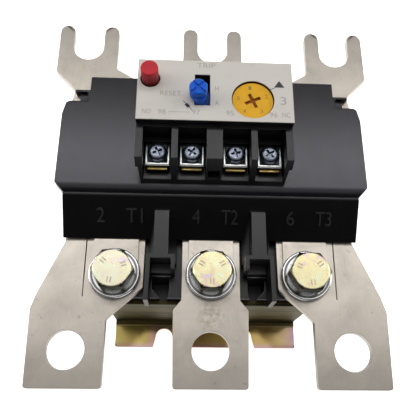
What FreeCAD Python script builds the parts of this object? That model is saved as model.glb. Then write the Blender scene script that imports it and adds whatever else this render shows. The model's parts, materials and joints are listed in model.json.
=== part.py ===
import FreeCAD, Part
import math
import os

V = FreeCAD.Vector

# Three-pole thermal overload relay lying on its back. Millimetres.
# +Z leaves the front panel, +Y points to the line-side forks, +X to the right.
# The origin is in the plane of the mounting surface, midway along the length.

# ---- conductors -----------------------------------------------------------
POLE_PITCH = 34.0          # between the terminal bolts
TERMINAL_PITCH = POLE_PITCH + 15.0    # between the bar holes, and between the forks
END_Y = 69.1               # bars end at -END_Y, forks at +END_Y
SHEET = 3.0                # thickness of bars and forks
BAR_TOP = 45.6
BAR_INNER_Y = -10.0
BAR_HALF = 12.9
BAR_HOLE_R = 6.5
BAR_HOLE_Y = -56.7
BAR_SHOULDER_Y = -43.0
NECK_HALF = 10.3
NECK_END_Y = -39.4
NECK_TURN_Y = -35.4        # the outer bars' neck starts to slant here
FLARE_X = TERMINAL_PITCH + 11.5
FLARE_Y = -37.6            # and their outer edge here
SLIT_WIDTH = 0.4
SLIT_X = POLE_PITCH + 10.7
SLIT_END_Y = -38.5
BOLT_Y = -30.6

STRAP_T = 1.0              # heater strap, lies on the bar
STRAP_HALF = 8.0
STRAP_INNER_Y = 36.5
STRAP_SLOT_HALF = 1.5      # the slot sets the strap's resistance
STRAP_SLOT_Y1 = 22.0
RIVET_Y = 32.5
RIVET_R = 2.5
RIVET_HEAD_R = 4.2
RIVET_HEAD_T = 0.8
LINK_HALF = 6.5
LINK_HALF_Y = 3.5

FORK_TOP = BAR_TOP + 8.2
FORK_HALF = 11.6
FORK_SLOT_R = 5.9
FORK_SLOT_Y = 59.25        # centre of the slot's round end
FORK_SHOULDER_Y = 47.5
FORK_WAIST_Y = 44.5        # the outer forks' inner edge starts to slant here
FORK_BODY_HALF = 10.5
FORK_INNER_Y = 28.5

# ---- terminal bolts, M8 ---------------------------------------------------
BOLT_R = 4.0
THREAD_CLEAR = 0.05
HEAD_FLATS = 13.0
HEAD_H = 5.3
HEAD_CHAMFER = 0.8
FLAT_WASHER_R = 9.0
FLAT_WASHER_T = 1.4
SPRING_WASHER_R = 6.9
SPRING_WASHER_T = 1.6
NUT_H = 6.4
BOLT_PAST_NUT = 1.5

# ---- base housing ---------------------------------------------------------
BASE_TOP = FORK_TOP - SHEET
DECK_TOP = BAR_TOP - SHEET
DECK_HALF = 1.5 * POLE_PITCH + 2.0    # three pole chambers side by side
DECK_FRONT_Y = -38.2
DECK_FRONT_HALF = POLE_PITCH + 3.9    # the front corners are cut back beyond this
CHAMBER_Y0 = -5.5
CHAMBER_Y1 = 38.5
BASE_WALL = 2.5
BASE_FLOOR = 3.0
POLE_WALL = 3.0
WEDGE_BACK_Y = -8.0        # upper load-side wall starts here

# ---- front cover ----------------------------------------------------------
COVER_TOP = BASE_TOP + 6.2
COVER_SHEET = 2.0
COVER_WALL = 2.2
COVER_HALF = DECK_HALF + 2.9
SHOULDER_Y = 27.0          # the hood's sides turn in above here
NOTCH_Y0 = 32.6            # corner notch, under a thin ledge
NOTCH_Y1 = 36.4
LEDGE_T = 0.9
NOTCH_DEPTH = 9.0          # inwards from the hood's side
SHELF_DEPTH = 5.9          # a low shelf fills the notch's inner part
SHELF_T = 1.4
HOOD_STEP = 9.75
COVER_LOW_Y = -3.4
COVER_FOLD_Y = -0.4
COVER_HIGH_Y = 43.1
COVER_FOLD_DROP = 1.7

# ---- sloped terminal cover and phase barriers -----------------------------
SLOPE_Y0 = -17.9
SLOPE_Z0 = BAR_TOP + 1.4
SLOPE_Y1 = -4.75
SLOPE_Z1 = COVER_TOP - 2.0
WEDGE_UNDER = BAR_TOP + STRAP_T + 0.2
BARRIER_X = POLE_PITCH / 2
LEFT_SHIFT = 0.7           # barriers and bracket slots sit this far left of the midlines
BARRIER_TOP = SLOPE_Z1
RIB_HALF = 2.55
RIB_START_Y = -9.6
BLOCK_HALF = 4.85
BLOCK_Y0 = -26.95
BLOCK_Y1 = -25.4
COLLAR_OUT = 4.5
COLLAR_IN = 5.3
LEG_T = 1.35
LEG_SPLAY = 0.5            # the outer leg leans outwards towards its end
OUTER_LEG_Y = -41.4
INNER_LEG_Y = -30.5
POCKET_Y = -31.5           # the floor between the legs ends here
GROOVE_DEPTH = 9.0
GROOVE_BEND_Y = -35.0

# ---- control block --------------------------------------------------------
BLOCK_X = 27.0
CONTROL_Y0 = -0.3
CONTROL_Y1 = 39.9
WALL_TOP = COVER_TOP + 13.2
CONTROL_TOP = WALL_TOP + 3.0
LABEL_T = 0.4
LABEL_Y0 = 16.0
WALL_LOW_Y = 3.4
CELL_NEAR = 7.65
CELL_PITCH = 12.0
CELL_X = (-CELL_NEAR - CELL_PITCH, -CELL_NEAR, CELL_NEAR, CELL_NEAR + CELL_PITCH)
CELL_HALF = 4.85
CELL_FLOOR = COVER_TOP + 2.2
CELL_BACK_Y = 15.2
SHELF_Y = 13.2             # a thin shelf over the brass plate's back end
CAVITY_X = BLOCK_X - 1.2
CAVITY_Y0 = 16.6
CAVITY_Y1 = 37.7
CAVITY_TOP = CONTROL_TOP - 2.0
OPENING_X = BLOCK_X - 2.8
OPENING_Y0 = 13.5
OPENING_Y1 = 36.5

# ---- control terminals ----------------------------------------------------
SCREW_Y = 8.4
PLATE_HALF = 3.5
PLATE_T = 1.2
PLATE_Y0 = 2.9
PLATE_Z0 = CELL_FLOOR + 1.2
LEG_HALF = 2.0
LEG_Y0 = 13.7
LEG_Z0 = BASE_TOP - 1.2
CLAMP_HALF = 4.5
CLAMP_T = 1.0
SCREW_R = 1.75
SCREW_HEAD_R = 3.5
SCREW_HEAD_H = 2.4
CONTACT_R = 1.2
CONTACT_T = 0.4
CONTACT_Z = BASE_TOP + 1.4
BRIDGE_T = 0.8
BRIDGE_OVER = 2.3          # a bridge reaches past its two contacts

# ---- dial, cam and adjusting slider ---------------------------------------
DIAL_X = 13.0
DIAL_Y = 24.8
DIAL_R = 7.1
DIAL_T = 1.0
DIAL_RECESS_R = 7.4
DIAL_SEAT = CONTROL_TOP - 1.5
SPINDLE_R = 3.0
FIT = 0.05                 # radial running clearance
BOSS_BOTTOM = DIAL_SEAT - 4.9
CAM_BOTTOM = BOSS_BOTTOM - 3.6
CAM_R0 = 4.4
CAM_RISE = 1.2
CAM_SPAN = 240.0
CAM_GAP = 0.35
PLATE_TOP = COVER_TOP + 1.6           # mechanism plate
ADJUST_T = 1.6

# ---- reset and test -------------------------------------------------------
RESET_X = -6.0
RESET_Y = 25.5
KNOB_R = 3.1
KNOB_Z0 = CONTROL_TOP + 3.7
KNOB_Z1 = KNOB_Z0 + 2.7
KNOB_CROSS_DEPTH = 0.7
NECK_DROP = 1.2            # the neck ends this far below the knob's top
SLOT_X0 = -7.2
SLOT_X1 = -1.8
SLOT_Y0 = 21.9
SLOT_Y1 = 34.2
NECK_R = 1.3
RESET_TRAVEL = 1.2
TEST_X = -22.6
TEST_Y = 32.0
TEST_R = 3.0
TEST_RING = 0.45           # open ring round the button, above its guide
TEST_BORE_T = 1.2
TEST_TOP = CONTROL_TOP + 6.8
TEST_TRAVEL = 2.5
PUSH_BODY_Z0 = CAVITY_TOP - 5.2
STOP_T = 2.0
ROD_R = 1.5
ROD_Z0 = PLATE_TOP + 2.7
SPRING_R = 2.25
SPRING_WIRE = 0.25
SPRING_TURNS = 5

# ---- trip mechanism -------------------------------------------------------
PIVOT_X = 4.5
PIVOT_Y = 24.0
PIVOT_R = 1.2
LEVER_Z0 = BASE_TOP - 0.6
LEVER_T = 2.2
HUB_R = 2.6
PUSH_Y0 = 32.0
PUSH_Y1 = 34.4
PUSH_TRAVEL = 1.2
PUSH_H = 3.6
ARM_X = 15.6               # the slider's arm, beside the trip lever's tail
ARM_T = 2.2
TOUCH_GAP = 0.3
BIMETAL_OFFSET = 2.0
BIMETAL_T = 1.2
BIMETAL_Z0 = BAR_TOP - 15.6
BIMETAL_Z1 = BIMETAL_Z0 + 7.0
PUSH_Z0 = BIMETAL_Z0 - 5.0
CARRIER_Z0 = LEVER_Z0 - 0.8
CARRIER_Z1 = CARRIER_Z0 + 4.8
CARRIER_TRAVEL = 1.5

# ---- mounting bracket -----------------------------------------------------
BRACKET_HALF = POLE_PITCH + 3.7
BRACKET_T = 1.6
FOOT_Y = -50.8
RISER_TOP = DECK_TOP - 4.6
BRACKET_SLOT_X = POLE_PITCH / 2 - 0.3
BRACKET_SLOT_HALF = 3.5
SLOT_MOUTH_HALF = 4.6      # the slots widen towards the edge
BRACKET_SLOT_Y = -46.7     # centre of the slot's round inner end
BRACKET_SCREW_Z = 22.0
BRACKET_SCREW_X = 7.0
BRACKET_SCREW_DEPTH = 7.0
BRACKET_SCREW_R = 1.75

POLES = (("left", -1), ("middle", 0), ("right", 1))


# ---- small helpers --------------------------------------------------------
def box(x0, x1, y0, y1, z0, z1):
    return Part.makeBox(x1 - x0, y1 - y0, z1 - z0, V(x0, y0, z0))


def cyl(x, y, z0, z1, r):
    return Part.makeCylinder(r, z1 - z0, V(x, y, z0))


def prism_z(points, z0, z1):
    wire = Part.makePolygon([V(x, y, z0) for x, y in points] + [V(points[0][0], points[0][1], z0)])
    return Part.Face(wire).extrude(V(0, 0, z1 - z0))


def prism_x(points, x0, x1):
    wire = Part.makePolygon([V(x0, y, z) for y, z in points] + [V(x0, points[0][0], points[0][1])])
    return Part.Face(wire).extrude(V(x1 - x0, 0, 0))


def mirrored(points):
    return points + [(-x, y) for x, y in reversed(points)]


def join(shapes):
    result = shapes[0]
    for shape in shapes[1:]:
        result = result.fuse(shape)
    return result.removeSplitter()


def remove(shape, tools):
    for tool in tools:
        shape = shape.cut(tool)
    return shape.removeSplitter()


def flip(shape):
    return shape.mirror(V(0, 0, 0), V(1, 0, 0))


def vertical_edges(shape, test):
    found = []
    for edge in shape.Edges:
        start, end = edge.Vertexes[0].Point, edge.Vertexes[-1].Point
        upright = abs(start.x - end.x) < 1e-6 and abs(start.y - end.y) < 1e-6
        if upright and test(start.x, start.y):
            found.append(edge)
    return found


def hexagon(x, y, flats):
    corner = flats / math.sqrt(3)
    return [(x + corner * math.cos(math.radians(a)), y + corner * math.sin(math.radians(a)))
            for a in range(0, 360, 60)]


def save(name, shape):
    if not shape.isValid():
        raise ValueError(name + " is not a valid shape")
    shape.exportStep("parts/" + name + ".step")


# ---- conductors -----------------------------------------------------------
def pole_x(side):
    return side * POLE_PITCH


def terminal_x(side):
    return side * TERMINAL_PITCH


def strap_top():
    return BAR_TOP + STRAP_T


def outer_bar():
    """Right-hand bar: widens outwards from the bolt to the cable hole."""
    inner = TERMINAL_PITCH - BAR_HALF
    outer = TERMINAL_PITCH + BAR_HALF
    outline = [(DECK_HALF - 1.1, BAR_INNER_Y), (DECK_HALF - 1.1, SLOPE_Y0),
               (FLARE_X, FLARE_Y), (outer + 0.3, BAR_SHOULDER_Y), (outer - 0.3, -END_Y),
               (inner, -END_Y), (inner, BAR_SHOULDER_Y - 3.6), (POLE_PITCH - 0.3, BAR_SHOULDER_Y - 1.0),
               (POLE_PITCH - NECK_HALF + 0.3, NECK_TURN_Y), (POLE_PITCH - NECK_HALF, BAR_INNER_Y)]
    bar = prism_z(outline, DECK_TOP, BAR_TOP)
    bar = bar.makeFillet(1.2, vertical_edges(bar, lambda x, y: y < BAR_SHOULDER_Y + 1.5))
    slit = box(SLIT_X - SLIT_WIDTH / 2, SLIT_X + SLIT_WIDTH / 2, SLIT_END_Y, BAR_INNER_Y - 4,
               DECK_TOP - 1, BAR_TOP + 1)
    holes = [cyl(TERMINAL_PITCH, BAR_HOLE_Y, DECK_TOP - 1, BAR_TOP + 1, BAR_HOLE_R),
             cyl(POLE_PITCH, BOLT_Y, DECK_TOP - 1, BAR_TOP + 1, BOLT_R + 0.4), slit]
    return remove(bar, holes)


def middle_bar():
    outline = mirrored([(NECK_HALF, BAR_INNER_Y), (NECK_HALF, NECK_END_Y),
                        (BAR_HALF + 0.3, BAR_SHOULDER_Y), (BAR_HALF - 0.2, -END_Y)])
    bar = prism_z(outline, DECK_TOP, BAR_TOP)
    bar = bar.makeFillet(1.0, vertical_edges(bar, lambda x, y: y < BAR_SHOULDER_Y + 1))
    return remove(bar, [cyl(0, BAR_HOLE_Y, DECK_TOP - 1, BAR_TOP + 1, BAR_HOLE_R),
                        cyl(0, BOLT_Y, DECK_TOP - 1, BAR_TOP + 1, BOLT_R + 0.4)])


def heater_strap(side):
    """Flat strip with a round end under the washers; carries the current past the bimetal."""
    x = pole_x(side)
    strip = box(x - STRAP_HALF, x + STRAP_HALF, BOLT_Y, STRAP_INNER_Y, BAR_TOP, strap_top())
    strip = join([strip, cyl(x, BOLT_Y, BAR_TOP, strap_top(), STRAP_HALF)])
    slot = box(x - STRAP_SLOT_HALF, x + STRAP_SLOT_HALF, 0, STRAP_SLOT_Y1, BAR_TOP - 1, strap_top() + 1)
    return remove(strip, [slot, cyl(x, BOLT_Y, BAR_TOP - 1, strap_top() + 1, BOLT_R + 0.4),
                          rivet_hole(x)])


def fork_blade(x):
    """U-shaped end that slides under the contactor's terminal screws."""
    bottom = FORK_TOP - SHEET
    prong = FORK_HALF - FORK_SLOT_R
    blade = box(x - FORK_HALF, x + FORK_HALF, FORK_SHOULDER_Y, END_Y, bottom, FORK_TOP)
    blade = blade.makeFillet(prong / 2 - 0.1, vertical_edges(blade, lambda px, py: py > END_Y - 1))
    slot = join([cyl(x, FORK_SLOT_Y, bottom - 1, FORK_TOP + 1, FORK_SLOT_R),
                 box(x - FORK_SLOT_R, x + FORK_SLOT_R, FORK_SLOT_Y, END_Y + 1, bottom - 1, FORK_TOP + 1)])
    blade = remove(blade, [slot])
    inner_tips = vertical_edges(blade, lambda px, py: py > END_Y - 0.1 and abs(px - x) < FORK_SLOT_R + 0.1)
    return blade.makeFillet(prong / 2 - 0.1, inner_tips)


def outer_fork():
    """Right-hand fork: steps inwards from the contactor pitch to the pole pitch."""
    outline = [(TERMINAL_PITCH + FORK_HALF, FORK_SHOULDER_Y), (COVER_HALF - 3.1, NOTCH_Y1 + 3.4),
               (COVER_HALF - 3.1, NOTCH_Y1 + LEDGE_T), (COVER_HALF - 2.4, NOTCH_Y0 + 1.2),
               (COVER_HALF - 3.0, NOTCH_Y0 - 1.6), (POLE_PITCH + FORK_BODY_HALF, FORK_INNER_Y + 1.5),
               (POLE_PITCH + FORK_BODY_HALF, FORK_INNER_Y), (POLE_PITCH - FORK_BODY_HALF, FORK_INNER_Y),
               (POLE_PITCH - FORK_BODY_HALF, FORK_WAIST_Y - 3.0), (POLE_PITCH - 4.5, FORK_WAIST_Y),
               (TERMINAL_PITCH - FORK_HALF, FORK_SHOULDER_Y + 1.8),
               (TERMINAL_PITCH - FORK_HALF, FORK_SHOULDER_Y + 4), (TERMINAL_PITCH + FORK_HALF, FORK_SHOULDER_Y + 4)]
    body = prism_z(outline, FORK_TOP - SHEET, FORK_TOP)
    return remove(join([body, fork_blade(TERMINAL_PITCH)]), [rivet_hole(POLE_PITCH)])


def middle_fork():
    body = box(-FORK_HALF + 0.1, FORK_HALF - 0.1, FORK_INNER_Y, FORK_SHOULDER_Y + 1, FORK_TOP - SHEET, FORK_TOP)
    return remove(join([body, fork_blade(0)]), [rivet_hole(0)])


def rivet_hole(x):
    return cyl(x, RIVET_Y, BAR_TOP - 1, FORK_TOP + 2, RIVET_R)


def link_block(side):
    """Copper spacer that carries the current from the strap up to the fork."""
    x = pole_x(side)
    block = box(x - LINK_HALF, x + LINK_HALF, RIVET_Y - LINK_HALF_Y, RIVET_Y + LINK_HALF_Y,
                strap_top(), FORK_TOP - SHEET)
    return remove(block, [rivet_hole(x)])


def conductor_rivet(side):
    x = pole_x(side)
    return join([cyl(x, RIVET_Y, BAR_TOP, FORK_TOP, RIVET_R),
                 cyl(x, RIVET_Y, FORK_TOP, FORK_TOP + RIVET_HEAD_T, RIVET_HEAD_R),
                 cyl(x, RIVET_Y, BAR_TOP - RIVET_HEAD_T, BAR_TOP, RIVET_HEAD_R)])


def bimetal(side):
    """Thin strip on edge; its far end bends sideways and pushes the slider."""
    x = pole_x(side) + BIMETAL_OFFSET
    outline = [(-3.5, BAR_TOP), (-3.5, BIMETAL_Z0), (35.0, BIMETAL_Z0), (35.0, BIMETAL_Z1),
               (4.5, BIMETAL_Z1), (4.5, BAR_TOP)]
    return prism_x(outline, x - BIMETAL_T / 2, x + BIMETAL_T / 2)


# ---- terminal bolts -------------------------------------------------------
def washer_top():
    return strap_top() + FLAT_WASHER_T


def head_bottom():
    return washer_top() + SPRING_WASHER_T


def ring(x, y, z0, z1, outer, inner):
    return cyl(x, y, z0, z1, outer).cut(cyl(x, y, z0 - 1, z1 + 1, inner))


def flat_washer(side):
    return ring(pole_x(side), BOLT_Y, strap_top(), washer_top(), FLAT_WASHER_R, BOLT_R + 0.25)


def spring_washer(side):
    x = pole_x(side)
    body = ring(x, BOLT_Y, washer_top(), head_bottom(), SPRING_WASHER_R, BOLT_R + 0.15)
    gap = box(-0.4, 0.4, BOLT_R - 1, SPRING_WASHER_R + 1, washer_top() - 1, head_bottom() + 1)
    gap.rotate(V(0, 0, 0), V(0, 0, 1), -40)
    gap.translate(V(x, BOLT_Y, 0))
    return body.cut(gap)


def bolt_end():
    return DECK_TOP - NUT_H - BOLT_PAST_NUT


def terminal_bolt(side):
    """Hexagon head with a chamfered crown, plain shank down through the captive nut."""
    x = pole_x(side)
    bottom = head_bottom()
    head = prism_z(hexagon(x, BOLT_Y, HEAD_FLATS), bottom, bottom + HEAD_H)
    corner = HEAD_FLATS / math.sqrt(3)
    crown = join([cyl(x, BOLT_Y, bottom, bottom + HEAD_H - HEAD_CHAMFER, corner + 0.3),
                  Part.makeCone(corner + 0.3, HEAD_FLATS / 2 - 0.3, HEAD_CHAMFER,
                                V(x, BOLT_Y, bottom + HEAD_H - HEAD_CHAMFER))])
    return join([head.common(crown), cyl(x, BOLT_Y, bolt_end(), bottom, BOLT_R)])


def captive_nut(side):
    x = pole_x(side)
    nut = prism_z(hexagon(x, BOLT_Y, HEAD_FLATS), DECK_TOP - NUT_H, DECK_TOP)
    return nut.cut(cyl(x, BOLT_Y, DECK_TOP - NUT_H - 1, DECK_TOP + 1, BOLT_R + THREAD_CLEAR))


# ---- base housing ---------------------------------------------------------
def base_outline():
    side = COVER_HALF - 0.6
    return mirrored([(DECK_FRONT_HALF, DECK_FRONT_Y), (DECK_HALF, DECK_FRONT_Y + DECK_HALF - DECK_FRONT_HALF),
                     (DECK_HALF, COVER_LOW_Y), (side, COVER_FOLD_Y), (side, SHOULDER_Y),
                     (side - 1.6, NOTCH_Y0 - 1.6), (side - 3.8, NOTCH_Y0 + 2.4),
                     (COVER_HALF - 10.2, NOTCH_Y1 - 0.1), (COVER_HALF - 10.2, COVER_HIGH_Y - 0.6)])


def base_housing():
    body = prism_z(base_outline(), 0, BASE_TOP)
    cuts = [box(-DECK_HALF - 1, DECK_HALF + 1, DECK_FRONT_Y - 1, WEDGE_BACK_Y, DECK_TOP, BASE_TOP + 1)]
    half_chamber = (POLE_PITCH - POLE_WALL) / 2
    for name, side in POLES:
        x = pole_x(side)
        cuts.append(chamber(x, side, half_chamber))
        cuts.append(deck_hollow(x, side))
        cuts.append(nut_pocket(x))
        cuts.append(box(x - STRAP_HALF - 0.1, x + STRAP_HALF + 0.1, WEDGE_BACK_Y - 1, CHAMBER_Y0 + 1,
                        BAR_TOP, strap_top()))
    for x in (-POLE_PITCH / 2, POLE_PITCH / 2):
        cuts.append(box(x - POLE_WALL, x + POLE_WALL, PUSH_Y0 - 0.4, PUSH_Y1 + 0.4, PUSH_Z0 - 1.0, BASE_TOP + 1))
        cuts.append(box(x - POLE_WALL, x + POLE_WALL, 6.0, PUSH_Y1, CARRIER_Z0 - 2.0, BASE_TOP + 1))
    cuts += at_barriers(deck_groove())
    for x in (-BRACKET_SCREW_X, BRACKET_SCREW_X):
        cuts.append(Part.makeCylinder(BRACKET_SCREW_R + THREAD_CLEAR, BRACKET_SCREW_DEPTH + 2,
                                      V(x, DECK_FRONT_Y - 1, BRACKET_SCREW_Z), V(0, 1, 0)))
    return remove(body, cuts)


def chamber(x, side, half):
    """One bimetal chamber, open at the front; the outer ones are wider on their outer side."""
    outer = DECK_HALF - BASE_WALL
    corner = COVER_HALF - 13.4
    x0 = -outer if side < 0 else x - half
    x1 = outer if side > 0 else x + half
    low = box(x0, x1, CHAMBER_Y0, 26.0, BASE_FLOOR, BASE_TOP + 1)
    high = box(max(x0, -corner), min(x1, corner), CHAMBER_Y0, CHAMBER_Y1, BASE_FLOOR, BASE_TOP + 1)
    return join([low, high])


def deck_hollow(x, side):
    """The chamber runs on under the terminal deck; the middle one leaves a boss for the bracket screws."""
    half = POLE_PITCH / 2 - 4.5
    top = DECK_TOP - 10.6
    if side == 0:
        return box(x - half, x + half, DECK_FRONT_Y + BRACKET_SCREW_DEPTH + 1.5, CHAMBER_Y0 + 1, BASE_FLOOR, top)
    front = DECK_FRONT_Y + BASE_WALL
    corner = DECK_FRONT_HALF - BASE_WALL / 2
    right = prism_z([(POLE_PITCH - half, front), (corner, front),
                     (POLE_PITCH + half, front + POLE_PITCH + half - corner), (POLE_PITCH + half, CHAMBER_Y0 + 1),
                     (POLE_PITCH - half, CHAMBER_Y0 + 1)], BASE_FLOOR, top)
    return right if side > 0 else flip(right)


def deck_groove():
    """V-shaped groove in the deck's front edge, below a barrier's pocket."""
    outline = [(-2.7, POCKET_Y), (3.1, POCKET_Y), (3.1, GROOVE_BEND_Y), (-0.5, DECK_FRONT_Y - 1),
               (-2.0, DECK_FRONT_Y - 1), (-2.7, GROOVE_BEND_Y)]
    return prism_z(outline, DECK_TOP - GROOVE_DEPTH, DECK_TOP + 1)


def nut_pocket(x):
    pocket = prism_z(hexagon(x, BOLT_Y, HEAD_FLATS), DECK_TOP - NUT_H, DECK_TOP + 1)
    return pocket.fuse(cyl(x, BOLT_Y, DECK_TOP - 11.6, DECK_TOP, BOLT_R + 0.3))


# ---- front cover ----------------------------------------------------------
def cover_outline():
    """Plan of the hood: stepped upper corners with a thin rib above each corner notch."""
    side = COVER_HALF
    right = [(side - 2.8, COVER_LOW_Y), (side, COVER_FOLD_Y), (side, SHOULDER_Y),
             (side - 1.0, NOTCH_Y0 - 1.0), (side - 2.2, NOTCH_Y0), (side - NOTCH_DEPTH, NOTCH_Y0),
             (side - NOTCH_DEPTH, NOTCH_Y1), (side - 4.2, NOTCH_Y1), (side - 4.2, NOTCH_Y1 + LEDGE_T),
             (side - HOOD_STEP, NOTCH_Y1 + LEDGE_T), (side - HOOD_STEP, COVER_HIGH_Y)]
    return mirrored(right)


def cover_hollow():
    inner = COVER_HALF - COVER_WALL
    right = [(inner - 2.8, COVER_LOW_Y + COVER_WALL), (inner, COVER_FOLD_Y + COVER_WALL), (inner, SHOULDER_Y - 0.5),
             (inner - 1.4, NOTCH_Y0 - 2.8), (inner - NOTCH_DEPTH, NOTCH_Y0 - 2.8),
             (inner - NOTCH_DEPTH, NOTCH_Y0 + 0.4), (inner - HOOD_STEP, NOTCH_Y1 - 1.1),
             (inner - HOOD_STEP, COVER_HIGH_Y - COVER_WALL)]
    return mirrored(right)


def front_cover():
    body = prism_z(cover_outline(), BASE_TOP, COVER_TOP)
    fold = prism_x([(COVER_FOLD_Y, COVER_TOP), (COVER_LOW_Y, COVER_TOP - COVER_FOLD_DROP),
                    (COVER_LOW_Y - 1, COVER_TOP - COVER_FOLD_DROP), (COVER_LOW_Y - 1, COVER_TOP + 1),
                    (COVER_FOLD_Y, COVER_TOP + 1)], -COVER_HALF - 1, COVER_HALF + 1)
    cuts = [fold, prism_z(cover_hollow(), BASE_TOP - 1, COVER_TOP - COVER_SHEET),
            box(-OPENING_X, OPENING_X, OPENING_Y0, OPENING_Y1, BASE_TOP, COVER_TOP + 1)]
    cuts += [fork_window(side) for name, side in POLES]
    shelf = box(COVER_HALF - NOTCH_DEPTH - 0.5, COVER_HALF - SHELF_DEPTH, NOTCH_Y0 - 0.5, NOTCH_Y1 + 0.5,
                FORK_TOP + 0.1, FORK_TOP + 0.1 + SHELF_T)
    return join([remove(body, cuts), shelf, flip(shelf)])


def fork_window(side):
    z1 = FORK_TOP + 0.1
    if side == 0:
        return box(-FORK_HALF - 0.1, FORK_HALF + 0.1, 35, COVER_HIGH_Y + 1, BASE_TOP - 1, z1)
    inner = POLE_PITCH - FORK_BODY_HALF - 0.2
    outer = COVER_HALF + 0.6
    low = NOTCH_Y0 - 2.8
    window = prism_z([(outer, low), (outer, COVER_HIGH_Y + 1), (inner, COVER_HIGH_Y + 1),
                      (inner, 35.0), (COVER_HALF - 11.4, low)], BASE_TOP - 1, z1)
    return window if side > 0 else flip(window)


# ---- sloped terminal cover ------------------------------------------------
def at_barriers(shape):
    """A shape drawn about the right-hand barrier's midline, at both barriers."""
    right = shape.copy()
    right.translate(V(BARRIER_X - LEFT_SHIFT, 0, 0))
    left = flip(shape)
    left.translate(V(-BARRIER_X - LEFT_SHIFT, 0, 0))
    return [right, left]


def barrier_collar():
    """Low shelf round the rib's foot that runs on as the floor between the legs."""
    collar = box(-COLLAR_IN, COLLAR_OUT, BLOCK_Y0, SLOPE_Y0 + 1, DECK_TOP, SLOPE_Z0)
    pocket = box(-BLOCK_HALF + LEG_T, BLOCK_HALF - LEG_T, POCKET_Y, BLOCK_Y0, DECK_TOP, SLOPE_Z0)
    lip = [edge for edge in pocket.Edges if abs(edge.BoundBox.YMax - POCKET_Y) < 1e-6
           and abs(edge.BoundBox.ZMin - SLOPE_Z0) < 1e-6]
    return [collar, pocket.makeFillet(1.3, lip)]


def barrier():
    """Phase barrier: rib, thin crosswise block, long outer leg and short inner leg."""
    rib = box(-RIB_HALF, RIB_HALF, BLOCK_Y1, RIB_START_Y, DECK_TOP, BARRIER_TOP)
    block = box(-BLOCK_HALF, BLOCK_HALF, BLOCK_Y0, BLOCK_Y1, DECK_TOP, BARRIER_TOP)
    outer = prism_z([(BLOCK_HALF - LEG_T, BLOCK_Y0), (BLOCK_HALF - LEG_T + LEG_SPLAY / 2, OUTER_LEG_Y),
                     (BLOCK_HALF + LEG_SPLAY, OUTER_LEG_Y), (BLOCK_HALF, BLOCK_Y0)], DECK_TOP, BARRIER_TOP)
    inner = box(-BLOCK_HALF, -BLOCK_HALF + LEG_T, INNER_LEG_Y, BLOCK_Y0, DECK_TOP, BARRIER_TOP)
    nose = prism_x([(RIB_START_Y, BARRIER_TOP - 5.0), (RIB_START_Y, BARRIER_TOP),
                    (RIB_START_Y + 1.2, BARRIER_TOP - 3.5)], -RIB_HALF, RIB_HALF)
    return join([rib, block, outer, inner, nose] + barrier_collar())


def terminal_cover():
    wedge = prism_x([(SLOPE_Y0, WEDGE_UNDER), (SLOPE_Y0, SLOPE_Z0), (SLOPE_Y1, SLOPE_Z1),
                     (COVER_LOW_Y, SLOPE_Z1), (COVER_LOW_Y, BASE_TOP), (WEDGE_BACK_Y, BASE_TOP),
                     (WEDGE_BACK_Y, WEDGE_UNDER)], -DECK_HALF, DECK_HALF)
    return join([wedge] + at_barriers(barrier()))


# ---- control block --------------------------------------------------------
def control_side():
    """Side view of the block: low walls round the terminals, high box behind them."""
    return [(CONTROL_Y0, COVER_TOP), (CONTROL_Y1, COVER_TOP), (CONTROL_Y1, CONTROL_TOP),
            (LABEL_Y0, CONTROL_TOP), (LABEL_Y0, WALL_TOP), (WALL_LOW_Y, WALL_TOP)]


def control_housing():
    body = prism_x(control_side(), -BLOCK_X, BLOCK_X)
    cuts = []
    for x in (-1, 1):
        cuts.append(prism_z([(x * BLOCK_X, CONTROL_Y0 + 6.3), (x * (BLOCK_X - 1.8), CONTROL_Y0 - 1),
                             (x * (BLOCK_X + 2), CONTROL_Y0 - 1), (x * (BLOCK_X + 2), CONTROL_Y0 + 6.3)],
                            COVER_TOP - 1, WALL_TOP - 5.0))
    for x in CELL_X:
        cuts.append(box(x - CELL_HALF, x + CELL_HALF, CONTROL_Y0 - 1, CELL_BACK_Y, CELL_FLOOR, WALL_TOP + 1))
        cuts.append(box(x - CELL_HALF, x + CELL_HALF, LABEL_Y0 - 2, CELL_BACK_Y, CELL_FLOOR, CONTROL_TOP - 1.5))
        cuts.append(box(x - LEG_HALF - 0.1, x + LEG_HALF + 0.1, LEG_Y0 - 0.1, LEG_Y0 + PLATE_T,
                        COVER_TOP - 1, CELL_FLOOR + 1))
        cuts.append(cyl(x, SCREW_Y, COVER_TOP, CELL_FLOOR + 1, SCREW_R + 0.15))
    cuts.append(box(-CAVITY_X, CAVITY_X, CAVITY_Y0, CAVITY_Y1, COVER_TOP - 1, CAVITY_TOP))
    cuts.append(box(-2.0, 2.0, CONTROL_Y0 - 1, WALL_LOW_Y - 0.4, CELL_FLOOR + 0.8, CELL_FLOOR + 4.8))
    body = remove(body, cuts)
    boss = cyl(DIAL_X, DIAL_Y, BOSS_BOTTOM, CONTROL_TOP, DIAL_RECESS_R + 1.0)
    boss = boss.common(box(0, CAVITY_X, CAVITY_Y0 - 0.5, CAVITY_Y1, BOSS_BOTTOM, CONTROL_TOP))
    shelf_z = clamp_bottom() + 0.1
    shelves = [box(x - CELL_HALF - 0.5, x + CELL_HALF + 0.5, SHELF_Y, CELL_BACK_Y + 0.5, shelf_z, shelf_z + 0.8)
               for x in CELL_X]
    return remove(join([body, boss] + shelves), panel_holes(CAVITY_TOP - 1, CONTROL_TOP + 1)
                  + [cyl(TEST_X, TEST_Y, CONTROL_TOP - TEST_BORE_T, CONTROL_TOP + 1, TEST_R + TEST_RING),
                     cyl(DIAL_X, DIAL_Y, DIAL_SEAT, CONTROL_TOP + 1, DIAL_RECESS_R),
                     cyl(DIAL_X, DIAL_Y, BOSS_BOTTOM - 1, DIAL_SEAT + 1, SPINDLE_R + FIT)])


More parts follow.
